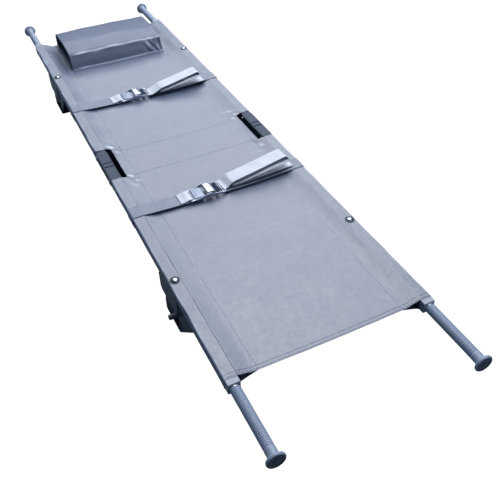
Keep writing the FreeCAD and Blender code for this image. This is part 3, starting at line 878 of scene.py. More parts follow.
    def rail_outline(self) -> np.ndarray:
        """Section of a sleeve about its rail's middle: over the top, down the outside, back under."""
        lay = self.layout
        r, out = self.rail_corner, lay.out
        arc = [(math.cos(a), math.sin(a)) for a in np.linspace(math.pi / 2, 0, 6)]
        across = [(0.0001 - out, lay.top - lay.rail_z - 0.0004)]
        across += [(t, out) for t in np.linspace(-out + 0.003, out - r, 7)]
        across += [(out - r + r * c, out - r + r * s) for c, s in arc[1:]]
        across += [(out, t) for t in np.linspace(out - r, -out + r, 7)[1:]]
        across += [(out - r + r * s, -out + r - r * c) for c, s in arc[1:]]
        across += [(t, -out) for t in np.linspace(out - r, -out, 6)[1:]]
        return np.array(across)

    def sleeve(self, side: str, half: str) -> bpy.types.Object:
        """The cloth wrapped round one rail half.

        Args:
            side: "left" or "right".
            half: "foot" or "head".

        Returns:
            The piece.
        """
        lay, sign = self.layout, SIDES[side]
        line = self.rail_outline()
        y0, y1 = sorted((HALVES[half] * lay.end_y, lay.break_y[half]))
        lengths = run_along(line)
        s, y = np.meshgrid(lengths, self.rows(y0, y1))
        off = y - lay.break_y[half]
        hem = sum(bump_at(np.abs(y), lay.end_y - t, self.hem_width) for t in self.hem_lines)
        swell = (self.rail_wave[side].at(s, y) + self.hem_height * hem + 0.0009 * bump_at(off, 0.0, 0.004)
                 + bump_at(off, 0.0, 0.05) * self.rail_crumple.at(s, y))
        swell = swell * (1 - bump_at(s, lengths[0], 0.004))
        radius = np.linalg.norm(line, axis=1)[None, :]
        x = sign * (lay.rail_x + line[None, :, 0] * (1 + swell / radius))
        z = lay.rail_z + line[None, :, 1] * (1 + swell / radius)
        made = Shape.cloth(f"{side}_{half}_sleeve_wrap", np.stack([x, y, z], axis=-1), Finishes.SHEET,
                           self.thick, side=-sign)
        # painted highlight line along the rail's rounded top outer edge, in patches
        ridge = 2 * lay.out - 0.2 * self.rail_corner
        Shape.mark(made, "painted_light", (0.6 + self.highlight_breakup.at(s, y)) * bump_at(s, ridge, 0.0020))
        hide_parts(f"{side}_{half}_sleeve")
        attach(made, f"{side}_{half}_rail_unit")
        log.info("%s wrapped", made.name)
        return made

    def build(self) -> None:
        """Make every piece of the bed cloth."""
        self.top_sheet("foot_top_sheet", "foot_bed_panel", "left_foot_rail_unit")
        self.top_sheet("middle_top_sheet", "middle_bed_panel", "left_link")
        self.top_sheet("head_top_sheet", "head_bed_panel", "left_head_rail_unit")
        for side in SIDES:
            for half in HALVES:
                self.sleeve(side, half)
                self.lower_layer(side, half)


@dataclass
class HeadRest(Builder):
    """The arched cloth head rest, open at both sides, with its welded hems.

    Args:
        layout: Places of the frame.
        bed: The bed cloth it is welded to.
        thick: Thickness of its padded cloth.
        flange: Width of the front hem on the bed.
        lift: How far the hem lies above the bed.
        crown: How far the middle stands above the open sides.
        crumple: Depth of the folds at the right end of the front wall.
        weld_lines: Weld lines of the front hem, along the cloth.
        creases: Pattern of those folds.
        broad_wave: Waves of the whole cloth.
        fine_wave: Short waves of the whole cloth.
        brow_wave: Waves of the front ridge.
        highlight_breakup: Pattern that breaks up the painted highlight lines.
    """

    bed: BedSheet
    thick: float = 0.0018
    flange: float = 0.015
    lift: float = 0.0012
    crown: float = 0.0025
    crumple: float = 0.012
    weld_lines: Tuple[float, float] = (0.004, 0.0125)
    creases: Wrinkle = Wrinkle(61, 0.045, 1.4, 0.9, 0.5)
    broad_wave: Wrinkle = Wrinkle(71, 0.16, 0.0010)
    fine_wave: Wrinkle = Wrinkle(75, 0.05, 0.0002)
    brow_wave: Wrinkle = Wrinkle(77, 0.16, 0.0022, 0.5)
    highlight_breakup: Wrinkle = Wrinkle(81, 0.11, 0.25, 0.6)

    def profile(self) -> Tuple[np.ndarray, float, float]:
        """The arch from the front hem over the top to the back hem.

        Returns:
            Its (y, z) points, and how far along them the wall's foot and the front ridge lie.
        """
        low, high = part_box("pillow")
        y0, y1, base, top = low.y, high.y, self.layout.bed_top + self.lift, high.z
        hem = [(y0 - self.flange, base), (y0 - self.flange / 2, base + 0.0002), (y0 - 0.001, base + 0.0008)]
        wall = [(y0 + 0.003, base + 0.008), (y0 + 0.009, base + 0.024), (y0 + 0.016, base + 0.038)]
        ridge = [(y0 + 0.0225, top - 0.0140), (y0 + 0.0290, top - 0.0090), (y0 + 0.0390, top - 0.0062)]
        crest = [(y0 + 0.065, top - 0.0030), (y0 + 0.110, top), (y0 + 0.180, top - 0.002)]
        back = [(y1 - 0.030, top - 0.006), (y1 - 0.012, top - 0.011), (y1 - 0.003, top - 0.024),
                (y1 - 0.001, top - 0.042), (y1, base + 0.003), (y1 + 0.002, base + 0.0005)]
        steps = 7
        line = Shape.curve(hem + wall + ridge + crest + back, steps)
        lengths = run_along(line)
        foot = lengths[(len(hem) - 1) * steps + 1]
        brow = lengths[(len(hem) + len(wall)) * steps + 3]
        return line, foot, brow

    def build(self) -> None:
        """Make the head rest."""
        low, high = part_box("pillow")
        line, foot, brow = self.profile()
        lengths = run_along(line)
        x, s = np.meshgrid(np.linspace(low.x, high.x, 96), lengths)
        y, z = (np.repeat(line[:, k:k + 1], x.shape[1], axis=1) for k in (0, 1))
        tangent = np.gradient(line, axis=0)
        tangent /= np.linalg.norm(tangent, axis=1)[:, None]
        wall = bump_at(s, 0.042, 0.024)
        free = np.clip((s - 0.02) / 0.02, 0, 1) * np.clip((lengths[-1] - s) / 0.02, 0, 1)
        right = np.clip((x - 0.10) / 0.07, 0, 1)
        folds = np.abs(self.creases.at(x, s)) - 0.5
        move = self.crumple * wall * right * folds
        move += free * (self.broad_wave.at(x, s) + self.fine_wave.at(x, s))
        move += bump_at(s, 0.070, 0.010) * self.brow_wave.at(x, s)
        for weld in self.weld_lines:
            move += 0.0007 * bump_at(s, weld, 0.0012)
        crown = self.crown * (1 - (x / high.x) ** 2) * free
        low_down = np.clip(1 - (z - self.layout.bed_top) / 0.03, 0, 1)
        crown = crown + low_down * (self.bed.height(x, y) - self.layout.bed_top) - 0.002 * free
        grid = np.stack([x, y - tangent[:, 1:2] * move, z + tangent[:, 0:1] * move + crown], axis=-1)
        made = Shape.cloth("head_rest_cover", grid, Finishes.PILLOW, self.thick, side=0.0)
        # painted highlights along the front ridge and the wall's foot line, painted glints on the crumpled
        # folds at the right end
        highlight_patchiness = (0.75 + self.highlight_breakup.at(x, s)) * np.clip((x - low.x - 0.012) / 0.03, 0, 1)
        painted_light = highlight_patchiness * (bump_at(s, brow, 0.0030) + 0.75 * bump_at(s, foot, 0.0022))
        painted_light = painted_light + 0.9 * wall * right * np.clip(folds * 1.5 - 0.15, 0, 1)
        # the front wall is also painted a little lighter, as if lit from the front
        Shape.mark(made, "painted_light", painted_light + 0.13 * bump_at(s, 0.038, 0.030))
        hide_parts("pillow")
        self.gather(made, "left_head_rail_unit")


# --------------------------------------------------------------------------- belts


@dataclass
class Belt(Builder):
    """One safety belt: rail loops, spans, folded tail and hook buckle.

    Args:
        layout: Places of the frame.
        half: "foot" or "head".
        thick: Thickness of the strap.
        cup: How far the strap's edges stand up.
        slack: Clear space between a rail's sleeve and the loop's middle line.
        wire: Radius of the buckle's wire ring.
        rod_bow: How far a bar's middle bows up.
        lever_turn: Place of the lever's pin, from the buckle's left end and underside.
        tail_ends: Where the folded tail starts and ends, across the bed.
        tail_turn: Slope of the tail in the bed's plane.
        tail_lead: Shift of the tail along the bed.
    """

    half: str
    thick: float = 0.0018
    cup: float = 0.0003
    slack: float = 0.0009
    wire: float = 0.0023
    rod_bow: float = 0.0004
    lever_turn: Tuple[float, float] = (0.062, 0.0098)
    tail_ends: Dict[str, Tuple[float, float]] = field(default_factory=lambda: {
        "foot": (0.036, 0.230), "head": (0.047, 0.208)})
    tail_turn: Dict[str, float] = field(default_factory=lambda: {"foot": 0.064, "head": 0.044})
    tail_lead: Dict[str, float] = field(default_factory=lambda: {"foot": 0.0135, "head": -0.0030})

    def __post_init__(self) -> None:
        """Read the belt's places from the frame."""
        low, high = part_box(f"{self.half}_belt_spans")
        self.y, self.width = (low.y + high.y) / 2, high.y - low.y
        low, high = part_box(f"{self.half}_buckle_frame")
        self.x0, self.x1, self.base = low.x, high.x, low.z
        self.reach = (high.y - low.y) / 2
        self.body = f"{self.half}_buckle"

    def placed(self, points: Sequence[Tuple[float, float]]) -> List[Tuple[float, float]]:
        """Points given from the buckle's left end and underside, as (x, z) in the frame."""
        return [(self.x0 + across, self.base + up) for across, up in points]

    def ribbon(self, name: str, path: np.ndarray, finish: Finish, closed: bool = False,
               turn: float = 0.0, narrow: float = 0.0, lead: float = 0.0) -> bpy.types.Object:
        """Strap along a path, slightly cupped.

        Args:
            name: Name of the piece.
            path: Points (x, z) or (x, z, shift along the bed).
            finish: Its finish.
            closed: Whether the strap is a ring.
            turn: Slope of the strap in the bed's plane.
            narrow: How much narrower than the belt each half is.
            lead: Shift of the whole strap along the bed.

        Returns:
            The strap.
        """
        across = np.linspace(-1.0, 1.0, 11)
        half = self.width / 2 - narrow
        run = path[:, 0:1]
        slip = path[:, 2:3] if path.shape[1] > 2 else 0.0
        x = run - turn * across * half
        y = self.y + lead + slip + across * half + turn * (run - run.mean())
        z = path[:, 1:2] + self.cup * across ** 2
        grid = np.stack([x, y, z], axis=-1)
        return Shape.cloth(name, grid, finish, self.thick, close_rows=closed, side=0.0)

    def loop(self, side: str) -> bpy.types.Object:
        """Strap loop round the rail of one side, slack below it."""
        lay, sign = self.layout, SIDES[side]
        low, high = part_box(f"{side}_{self.half}_belt_loop")
        w = lay.out + self.slack
        top, bottom = high.z - lay.rail_z - self.slack, low.z - lay.rail_z + 0.001
        points = [(-w + 0.002, top), (0.0, top), (w - 0.005, top), (w - 0.0012, top - 0.0012),
                  (w, top - 0.005), (w + 0.0004, 0.0), (w, bottom + 0.012),
                  (w - 0.004, bottom + 0.003), (0.002, bottom), (-w + 0.006, bottom + 0.003),
                  (-w, bottom + 0.010), (-w + 0.0001, 0.0), (-w, top - 0.005),
                  (-w + 0.0006, top - 0.0012)]
        line = Shape.curve(points + points[:1], 4)[:-1]
        line = np.stack([sign * (lay.rail_x + line[:, 0]), lay.rail_z + line[:, 1]], axis=1)
        made = self.ribbon(f"{side}_{self.half}_belt_ring", line, Finishes.BELT, closed=True)
        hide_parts(f"{side}_{self.half}_belt_loop")
        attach(made, f"{side}_{self.half}_rail_unit")
        return made

    def spans(self) -> None:
        """The two straps from the rails to the buckle."""
        inner, base = self.layout.inner(), self.base
        start = self.layout.top + self.thick / 2
        runs = {
            "left": [(-inner - 0.0035, start + 0.0002), (-inner + 0.004, start - 0.0004),
                     (-0.200, start - 0.0030), (-0.150, base + 0.0014), (self.x0 - 0.012, base - 0.0004)],
            "right": [(inner + 0.0035, start + 0.0002), (inner - 0.004, start - 0.0004),
                      (0.200, start - 0.0030), (0.110, base - 0.0002), (self.x1 - 0.004, base - 0.0006)],
        }
        for side, points in runs.items():
            made = self.ribbon(f"{side}_{self.half}_belt_span", Shape.curve(points, 7), Finishes.BELT)
            if side == "left":
                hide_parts(f"{self.half}_belt_spans")
            self.gather(made, f"left_{self.half}_rail_unit")

    def tail(self) -> None:
        """The spare end, folded in three and lying over the right strap."""
        start, end = self.tail_ends[self.half]
        third = (end - start) / 3
        near, far = start + third, start + 2 * third
        upper = [(self.x1 - 0.007, 0.0038, 0.0), (self.x1 + 0.006, 0.0062, 0.0),
                 (start - 0.003, 0.0150, 0.0), (start + 0.010, 0.0205, 0.0),
                 (near, 0.0275, 0.0), (far, 0.0370, 0.0),
                 (end - 0.014, 0.0442, 0.0), (end - 0.003, 0.0440, 0.0), (end + 0.002, 0.0385, -0.006)]
        middle = [(end - 0.004, 0.0335, -0.012), (far, 0.0265, -0.011), (near, 0.0155, -0.007),
                  (start + 0.014, 0.0092, -0.003), (start + 0.006, 0.0080, 0.0),
                  (start + 0.0035, 0.0064, 0.0)]
        lower = [(start + 0.007, 0.0048, 0.0), (near, 0.0052, -0.003), (far, 0.0068, -0.006),
                 (end - 0.004, 0.0096, -0.009), (end + 0.016, 0.0112, -0.010)]
        path = [(x, self.base + up, slip) for x, up, slip in upper + middle + lower]
        # the folded tail is drawn in the painted-light copy of the strap webbing
        made = self.ribbon(f"{self.half}_belt_folded_tail", Shape.curve(path, 6), Finishes.LIT_WEBBING,
                           turn=self.tail_turn[self.half], narrow=0.0006, lead=self.tail_lead[self.half])
        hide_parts(f"{self.half}_belt_tail")
        self.gather(made, self.body, anchor=self.x1, keep=0.3)

    def anchor_fold(self) -> None:
        """The stitched turn of the left strap round the buckle's bar."""
        points = self.placed([(-0.026, 0.0024), (-0.012, 0.0040), (-0.002, 0.0068), (0.006, 0.0074),
                              (0.0115, 0.0050), (0.0120, 0.0012), (0.007, -0.0010), (-0.004, -0.0012),
                              (-0.016, 0.0004)])
        # the turned strap is drawn in the painted-light copy of the strap webbing
        made = self.ribbon(f"{self.half}_belt_anchor_fold", Shape.curve(points, 6), Finishes.LIT_WEBBING,
                           narrow=0.0012)
        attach(made, self.body)

    def buckle(self) -> None:
        """Polished hook buckle: wire ring, bars, cover plate, side walls, hook and lever."""
        z, x0, x1, r = self.base, self.x0, self.x1, self.wire
        w = self.reach - r
        round_line = self.rounded_loop(x0 + r, x1 - r, w, z + 0.0030, 0.007)
        ring = Shape.bar(f"{self.half}_buckle_ring", round_line, r, Finishes.BUCKLE, closed=True)
        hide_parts(f"{self.half}_buckle_frame")
        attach(ring, self.body)
        bars = {"left_bar": (x0 + 0.0155, 0.0022, 0.0032), "latch_rod": (x1 - 0.020, 0.0024, 0.0067),
                "right_bar": (x1 - 0.0105, 0.0018, 0.0032)}
        for name, (x, radius, up) in bars.items():
            line = np.array([(x, self.y - w, z + up), (x, self.y, z + up + self.rod_bow),
                             (x, self.y + w, z + up)])
            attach(Shape.bar(f"{self.half}_buckle_{name}", line, radius, Finishes.BUCKLE), self.body)
        self.cover(x0 + 0.017, x0 + 0.0505)
        self.wall("near", -1.0)
        self.wall("far", 1.0)
        outline = self.placed([(0.086, 0.0015), (0.093, 0.0085), (0.099, 0.0110), (0.1015, 0.0095),
                               (0.096, 0.0060), (0.090, 0.0010)])
        hook = Shape.plate(f"{self.half}_buckle_hook", outline, "xz", self.y - w + 0.004,
                           self.y + w - 0.004, Finishes.HINGE, 0.0005)
        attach(hook, self.body)
        self.lever()

    def wall(self, name: str, sign: float) -> None:
        """Side wall of the buckle with the rivet end of the lever's pin.

        Args:
            name: "near" or "far".
            sign: Which way it lies along the bed, -1 or 1.
        """
        inner, outer = (self.y + sign * (self.reach + t) for t in (-0.0022, 0.0002))
        outline = self.placed([(0.020, 0.001), (0.024, 0.0062), (0.046, 0.0085), (0.056, 0.0145),
                               (0.068, 0.0150), (0.080, 0.0105), (0.104, 0.0070), (0.110, 0.001)])
        made = Shape.plate(f"{self.half}_buckle_wall_{name}", outline, "xz", min(inner, outer),
                           max(inner, outer), Finishes.BUCKLE, 0.0007)
        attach(made, self.body)
        (x, z), = self.placed([self.lever_turn])
        head = [(0.0030, -0.0004), (0.0034, 0.0004), (0.0026, 0.0012), (0.0010, 0.0015)]
        pin = Shape.lathe(f"{self.half}_buckle_rivet_{name}", [(r, outer + t * sign) for r, t in head],
                          (x, 0.0, z), "Y", Finishes.BUCKLE, 20)
        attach(pin, self.body)

    def rounded_loop(self, xa: float, xb: float, w: float, z: float, r: float) -> np.ndarray:
        """Closed rounded rectangle in the flat of the strap.

        Args:
            xa: Its left end.
            xb: Its right end.
            w: Half its width.
            z: Its height.
            r: Radius of its corners.

        Returns:
            Its points.
        """
        points = []
        centres = [(xb - r, w - r, 0.0), (xa + r, w - r, 0.5), (xa + r, -w + r, 1.0), (xb - r, -w + r, 1.5)]
        for cx, cy, start in centres:
            for a in np.linspace(0.0, 0.5, 6):
                angle = math.pi * (start + a)
                points.append((cx + r * math.cos(angle), self.y + cy + r * math.sin(angle), z))
        return np.array(points)

    def cover(self, xa: float, xb: float) -> None:
        """Pressed cover plate from xa to xb, with two grooves and a rivet head."""
        x, y = np.meshgrid(np.linspace(xa, xb, 40), np.linspace(-1, 1, 40))
        half = self.reach - 0.0045
        z = self.base + 0.0072 + 0.0016 * (1 - y ** 4) + 0.0010 * np.sin(math.pi * (x - xa) / (xb - xa))
        for line in (xa + 0.006, xa + 0.0095):
            z = z - 0.0006 * bump_at(x, line, 0.0008) * (np.abs(y) < 0.85)
        spot = np.hypot(x - xa - 0.0165, y * half - 0.006)
        z = z + 0.0010 * np.clip(1 - (spot / 0.0028) ** 2, 0, 1)
        z = np.where((x - xa) < 0.0015, z - 0.0020, z)
        grid = np.stack([x, self.y + y * half, z], axis=-1)
        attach(Shape.cloth(f"{self.half}_buckle_cover", grid, Finishes.PLATE, 0.0016), self.body)

    def lever(self) -> None:
        """Curved release lever on its pin."""
        profile = Shape.curve(self.placed([(0.0565, 0.0135), (0.0605, 0.0158), (0.0665, 0.0170),
                                           (0.0740, 0.0174), (0.0800, 0.0155), (0.0835, 0.0125),
                                           (0.0850, 0.0110)]), 6)
        across = np.linspace(-1.0, 1.0, 21)
        half = self.reach - 0.0050
        x = np.repeat(profile[:, 0:1], len(across), axis=1)
        y = np.repeat([self.y + across * half], len(profile), axis=0)
        z = profile[:, 1:2] - 0.0016 * np.abs(across) ** 6 - 0.0006 * across ** 2
        made = Shape.cloth(f"{self.half}_buckle_lever_shell", np.stack([x, y, z], axis=-1),
                           Finishes.BUCKLE, 0.0018)
        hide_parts(f"{self.half}_buckle_lever")
        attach(made, f"{self.half}_buckle_lever")
        (x, z), = self.placed([self.lever_turn])
        barrel = np.array([(x, self.y - half, z), (x, self.y + half, z)])
        knuckle = Shape.bar(f"{self.half}_buckle_lever_barrel", barrel, 0.0042, Finishes.BUCKLE, steps=20)
        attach(knuckle, f"{self.half}_buckle_lever")

    def build(self) -> None:
        """Make every piece of the belt."""
        for side in SIDES:
            self.loop(side)
        self.spans()
        self.tail()
        self.anchor_fold()
        self.buckle()
        log.info("%s belt made", self.half)


# --------------------------------------------------------------------------- hard parts


@dataclass
class Handle(Builder):
    """Ribbed grip with its flared knob.

    Args:
        layout: Places of the frame; not used.
        side: "left" or "right".
        half: "foot" or "head".
        radius: Radius of the grip over its ribs.
        knob: Length of the knob.
        rib_pitch: From one rib to the next.
        rib_depth: Depth between the ribs.
        rib_start: Where the ribs start.
        plain: Length without ribs before the knob.
    """

    side: str
    half: str
    radius: float = 0.0136
    knob: float = 0.009
    rib_pitch: float = 0.0054
    rib_depth: float = 0.0010
    rib_start: float = 0.0030
    plain: float = 0.012

    def build(self) -> None:
        """Make the grip."""
        low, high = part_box(f"{self.side}_{self.half}_grip")
        way = HALVES[self.half]
        knob_radius = (high.x - low.x) / 2
        start, end = (high.y, low.y) if way < 0 else (low.y, high.y)
        radius = self.radius
        knob = end - way * self.knob
        profile = [(0.0120, start), (radius - 0.0006, start), (radius, start + way * 0.0008)]
        at = self.rib_start
        last = abs(knob - start) - self.plain - 0.006
        while at + self.rib_pitch < last:
            for share in np.linspace(0.0, 1.0, 8, endpoint=False):
                depth = self.rib_depth * (0.5 - 0.5 * math.cos(2 * math.pi * share))
                profile.append((radius - depth, start + way * (at + share * self.rib_pitch)))
            at += self.rib_pitch
        profile += [(radius, start + way * (last + 0.001)), (radius, knob - way * 0.0075)]
        profile += [(radius + 0.0012, knob - way * 0.0045), (radius + 0.0042, knob - way * 0.0018)]
        profile += [(knob_radius - 0.0030, knob), (knob_radius - 0.0008, knob + way * 0.0010),
                    (knob_radius, knob + way * 0.0032), (knob_radius - 0.0002, knob + way * 0.0058),
                    (knob_radius - 0.0018, knob + way * 0.0080), (knob_radius - 0.0050, end)]
        profile += [(knob_radius - 0.0080, end), (knob_radius - 0.0092, end - way * 0.0010),
                    (0.0085, end - way * 0.0010), (0.0075, end - way * 0.0002), (0.0010, end)]
        centre = ((low.x + high.x) / 2, 0.0, (low.z + high.z) / 2)
        made = Shape.lathe(f"{self.side}_{self.half}_ribbed_grip", profile, centre, "Y", Finishes.GRIP, 56)
        # the knob's end faces take the painted-shade copy of the grip moulding
        made.data.materials.append(Finishes.KNOB_END_PAINTED_SHADE.material())
        for face in made.data.polygons:
            face.material_index = int(abs(face.center.y - knob) > 0.0062 and abs(face.normal.y) > 0.6
                                      and abs(face.center.y) > abs(knob))
        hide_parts(f"{self.side}_{self.half}_grip")
        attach(made, f"{self.side}_{self.half}_handle")
        log.info("%s made", made.name)


@dataclass
class RailBolt(Builder):
    """Domed bolt in a dark cup washer on top of a rail, with its shank.

    Args:
        layout: Places of the frame.
        side: "left" or "right".
        half: "foot" or "head".
        dome: Radius of the bolt's head.
        cup: Radius of the washer.
        shank: Radius of the shank.
    """

    side: str
    half: str
    dome: float = 0.0095
    cup: float = 0.0138
    shank: float = 0.0040

    def build(self) -> None:
        """Make the bolt and the washer."""
        node = f"{self.side}_{self.half}_rail_bolt"
        low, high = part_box(node)
        centre = ((low.x + high.x) / 2, (low.y + high.y) / 2, 0.0)
        z = self.layout.top
        bolt = Shape.lathe(f"{self.side}_{self.half}_bolt_dome", [
            (self.shank - 0.0002, low.z), (self.shank, low.z + 0.0005), (self.shank, z + 0.0002),
            (self.dome, z + 0.0004),
            (self.dome, z + 0.0010), (0.0084, z + 0.0024), (0.0062, z + 0.0038), (0.0034, z + 0.0045),
            (0.0010, z + 0.0047)], centre, "Z", Finishes.BOLT, 36)
        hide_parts(node)
        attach(bolt, f"{self.side}_{self.half}_rail_unit")
        washer = Shape.lathe(f"{self.side}_{self.half}_cup_washer", [
            (0.0042, z - 0.0004), (self.cup - 0.001, z - 0.0004), (self.cup, z + 0.0002),
            (self.cup - 0.0004, z + 0.0012), (self.cup - 0.0020, z + 0.0018),
            (self.dome + 0.0004, z + 0.0010), (self.dome - 0.0002, z + 0.0005)],
            centre, "Z", Finishes.WASHER, 40)
        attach(washer, f"{self.side}_{self.half}_rail_unit")


@dataclass(frozen=True)
class FrameDresser:
    """Gives the CAD nodes that stay in view their finish and softened edges.

    Args:
        rules: Ending of a node's name, its finish and the width of its softened edges.
    """

    rules: Sequence[Tuple[str, Finish, float]] = (
        ("handle_tube", Finishes.TUBE, 0.0004), ("_rail", Finishes.RAIL, 0.0004),
        ("end_cap", Finishes.CAP, 0.0006), ("hinge_lug", Finishes.HINGE, 0.0006),
        ("link_pivot_bolts", Finishes.BOLT, 0.0), ("link", Finishes.HINGE, 0.0005),
        ("skid_bracket", Finishes.BRACKET, 0.0006), ("skid", Finishes.SKID, 0.0016),
        ("strut_arm", Finishes.BRACKET, 0.0008))

    def finish_for(self, node: str) -> Tuple[Finish, float]:
        """The finish and edge width for a node.

        Args:
            node: The node's name.

        Returns:
            Its finish and the width of its softened edges.
        """
        for ending, finish, width in self.rules:
            if node.endswith(ending):
                return finish, width
        raise ValueError(f"no finish is set for {node}")

    def build(self) -> None:
        """Dress every node still shown."""
        for name, node in frame["nodes"].items():
            if node.hide_render:
                continue
            finish, width = self.finish_for(name)
            made = finish.material()
            if not node.material_slots:
                node.data.materials.append(made)
            for slot in node.material_slots:
                slot.material = made
            if width > 0.0:
                Shape.soften(node, width)
            log.info("%s dressed in %s", name, finish.name)


# --------------------------------------------------------------------------- stage


@dataclass(frozen=True)
class Stage:
    """Floor, lights and camera.

    Args:
        eye: Place of the camera.
        target: Point it looks at.
        roll: Its turn about its own line of sight.
        lens: Its focal length in millimetres.
        floor_colour: Colour of the floor for light that falls on the object.
        floor_second: Colour of the floor's mottling.
        panel_at: Place of the large window light.
        panel_size: Its two sides.
        panel_power: Its power.
        top_at: Place of the light overhead.
        top_size: Its two sides.
        top_power: Its power.
        front_at: Place of the weak light from the front.
        front_size: Its two sides.
        front_power: Its power.
        spark_at: Place of the small light that gives the highlights.
        spark_size: Its two sides.
        spark_power: Its power.
        tint: Colour of every light.
        sky: Strength of the surroundings.
        sky_colour: Their colour.
        glow: How far the floor glows for the camera, 0 to 1.
        glow_strength: Brightness of that glow.
        footprint: Half width and half length of the floor under the stretcher that takes the painted
            shadow.
        fade: Width of the change from the painted shadow to the glow.
        shade: Painted shadow colour of the floor inside the footprint.
    """

    eye: Point = (-0.58562, -1.79727, 1.31910)
    target: Point = (-0.02281, -0.57287, 0.150)
    roll: float = math.radians(2.04)
    lens: float = 47.0
    floor_colour: Colour = (0.17, 0.22, 0.29)
    floor_second: Colour = (0.15, 0.20, 0.27)
    panel_at: Point = (1.45, 2.75, 2.95)
    panel_size: Tuple[float, float] = (4.4, 3.4)
    panel_power: float = 196.0
    top_at: Point = (0.9, 0.5, 3.7)
    top_size: Tuple[float, float] = (2.8, 2.8)
    top_power: float = 105.0
    front_at: Point = (1.9, -3.0, 1.7)
    front_size: Tuple[float, float] = (2.0, 1.4)
    front_power: float = 24.0
    spark_at: Point = (0.25, 0.35, 2.7)
    spark_size: Tuple[float, float] = (0.3, 0.3)
    spark_power: float = 9.0
    tint: Colour = (0.95, 0.97, 0.99)
    sky: float = 0.16
    sky_colour: Colour = (0.62, 0.85, 1.15)
    glow: float = 0.97
    glow_strength: float = 1.15
    footprint: Tuple[float, float] = (0.20, 0.80)
    fade: float = 0.05
    shade: Colour = (0.020, 0.030, 0.045)

    def floor(self) -> None:
        """Pale floor with faint unevenness."""
        finish = Finish("studio_floor", "", self.floor_colour, self.floor_second, Grain.MOULDED,
                        mottle=2.0, contrast=0.5, roughness=(0.6, 0.75), specular=0.2, relief=0.00002)
        steps = np.linspace(-12.0, 12.0, 9)
        x, y = np.meshgrid(steps, steps)
        grid = np.stack([x, y, np.full_like(x, -0.0002)], axis=-1)
        mesh = bpy.data.meshes.new("floor")
        mesh.from_pydata([tuple(p) for p in grid.reshape(-1, 3)], [], Shape.quads(9, 9))
        mesh.materials.append(self.light_table(finish.material()))
        made = bpy.data.objects.new("floor", mesh)
        bpy.context.scene.collection.objects.link(made)

    def light_table(self, made: bpy.types.Material) -> bpy.types.Material:
        """Let the floor glow evenly for the camera outside the footprint, and paint shadow into its colour
        inside.

        Args:
            made: The floor's material, which is changed.

        Returns:
            The same material.
        """
        nodes = NodeTree(made, fresh=False)
        out, shader = (next(n for n in nodes.tree.nodes if n.type == kind)
                       for kind in ("OUTPUT_MATERIAL", "BSDF_PRINCIPLED"))
        place = nodes.add("ShaderNodeTexCoord")
        split = nodes.add("ShaderNodeSeparateXYZ")
        nodes.join(place.outputs["Object"], split.inputs[0])
        beside = []
        for axis, reach in zip("XY", self.footprint):
            distance = nodes.math("ABSOLUTE", split.outputs[axis])
            beside.append(nodes.ramp(distance, (reach, reach + self.fade), shape="SMOOTHSTEP"))
        outside = nodes.math("MAXIMUM", *beside)
        plain = shader.inputs["Base Color"].links[0].from_socket
        # painted shadow: the floor's colour is darkened inside the footprint under the stretcher
        nodes.join(nodes.blend(outside, self.shade, plain), shader.inputs["Base Color"])
        ray = nodes.add("ShaderNodeLightPath")
        seen = nodes.math("MULTIPLY", ray.outputs["Is Camera Ray"], outside)
        glow = nodes.add("ShaderNodeEmission", Strength=self.glow_strength)
        mix = nodes.add("ShaderNodeMixShader")
        nodes.join(nodes.math("MULTIPLY", seen, self.glow), mix.inputs["Fac"])
        nodes.join(shader.outputs["BSDF"], mix.inputs[1])
        nodes.join(glow.outputs["Emission"], mix.inputs[2])
        nodes.join(mix.outputs["Shader"], out.inputs["Surface"])
        return made

    def area(self, name: str, at: Point, size: Tuple[float, float], power: float, aim: Point) -> None:
        """Soft rectangular light aimed at a point.

        Args:
            name: Its name.
            at: Its place.
            size: Its two sides.
            power: Its power.
            aim: The point it shines at.
        """
        data = bpy.data.lights.new(name, "AREA")
        data.shape = "RECTANGLE"
        data.size, data.size_y = size
        data.energy = power
        data.color = self.tint
        lamp = bpy.data.objects.new(name, data)
        lamp.location = at
        lamp.rotation_euler = (Vector(aim) - Vector(at)).to_track_quat("-Z", "Y").to_euler()
        bpy.context.scene.collection.objects.link(lamp)

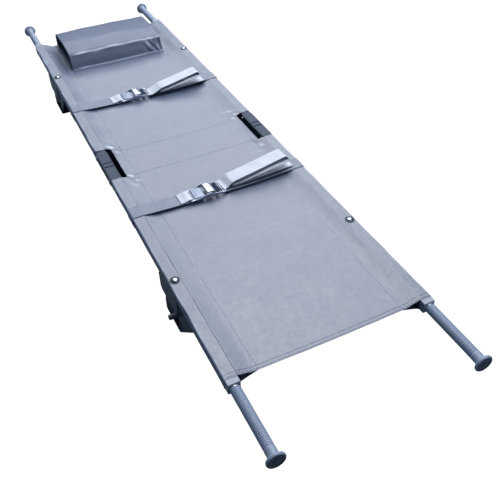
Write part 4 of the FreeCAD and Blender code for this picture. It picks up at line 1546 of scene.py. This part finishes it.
    def camera(self) -> None:
        """Camera with its roll."""
        eye, target = Vector(self.eye), Vector(self.target)
        forward = (target - eye).normalized()
        right = forward.cross(Vector((0, 0, 1))).normalized()
        down = forward.cross(right)
        c, s = math.cos(self.roll), math.sin(self.roll)
        across, drop = c * right + s * down, -s * right + c * down
        data = bpy.data.cameras.new("camera")
        data.lens, data.sensor_width = self.lens, 36.0
        data.dof.use_dof = False
        made = bpy.data.objects.new("camera", data)
        turn = Matrix((across, -drop, -forward)).transposed().to_4x4()
        made.matrix_world = Matrix.Translation(eye) @ turn
        bpy.context.scene.collection.objects.link(made)
        bpy.context.scene.camera = made

    def build(self) -> None:
        """Set the stage."""
        self.floor()
        self.area("panel", self.panel_at, self.panel_size, self.panel_power, (0.0, 0.0, 0.1))
        self.area("top", self.top_at, self.top_size, self.top_power, (0.0, -0.3, 0.1))
        self.area("front", self.front_at, self.front_size, self.front_power, (0.0, 0.4, 0.15))
        self.area("spark", self.spark_at, self.spark_size, self.spark_power, (0.0, 0.6, 0.2))
        world = bpy.data.worlds.new("studio") if not bpy.data.worlds else bpy.data.worlds[0]
        bpy.context.scene.world = world
        world.use_nodes = True
        tree = world.node_tree
        back = tree.nodes["Background"]
        back.inputs["Color"].default_value = (*self.sky_colour, 1.0)
        back.inputs["Strength"].default_value = self.sky
        backdrop = tree.nodes.new("ShaderNodeBackground")
        backdrop.inputs["Color"].default_value = (1.0, 1.0, 1.0, 1.0)
        ray = tree.nodes.new("ShaderNodeLightPath")
        mix = tree.nodes.new("ShaderNodeMixShader")
        tree.links.new(ray.outputs["Is Camera Ray"], mix.inputs["Fac"])
        tree.links.new(back.outputs["Background"], mix.inputs[1])
        tree.links.new(backdrop.outputs["Background"], mix.inputs[2])
        tree.links.new(mix.outputs["Shader"], tree.nodes["World Output"].inputs["Surface"])
        bpy.context.scene.view_settings.view_transform = "Standard"
        self.camera()


def main() -> None:
    """Build the looks round the frame."""
    logging.basicConfig(level=logging.INFO, format="%(message)s")
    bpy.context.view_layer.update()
    layout = Layout.read()
    bed = BedSheet(layout)
    bed.build()
    HeadRest(layout, bed).build()
    for half in HALVES:
        Belt(layout, half).build()
        for side in SIDES:
            Handle(layout, side, half).build()
            RailBolt(layout, side, half).build()
    FrameDresser().build()
    Stage().build()


if __name__ == "__main__":
    main()
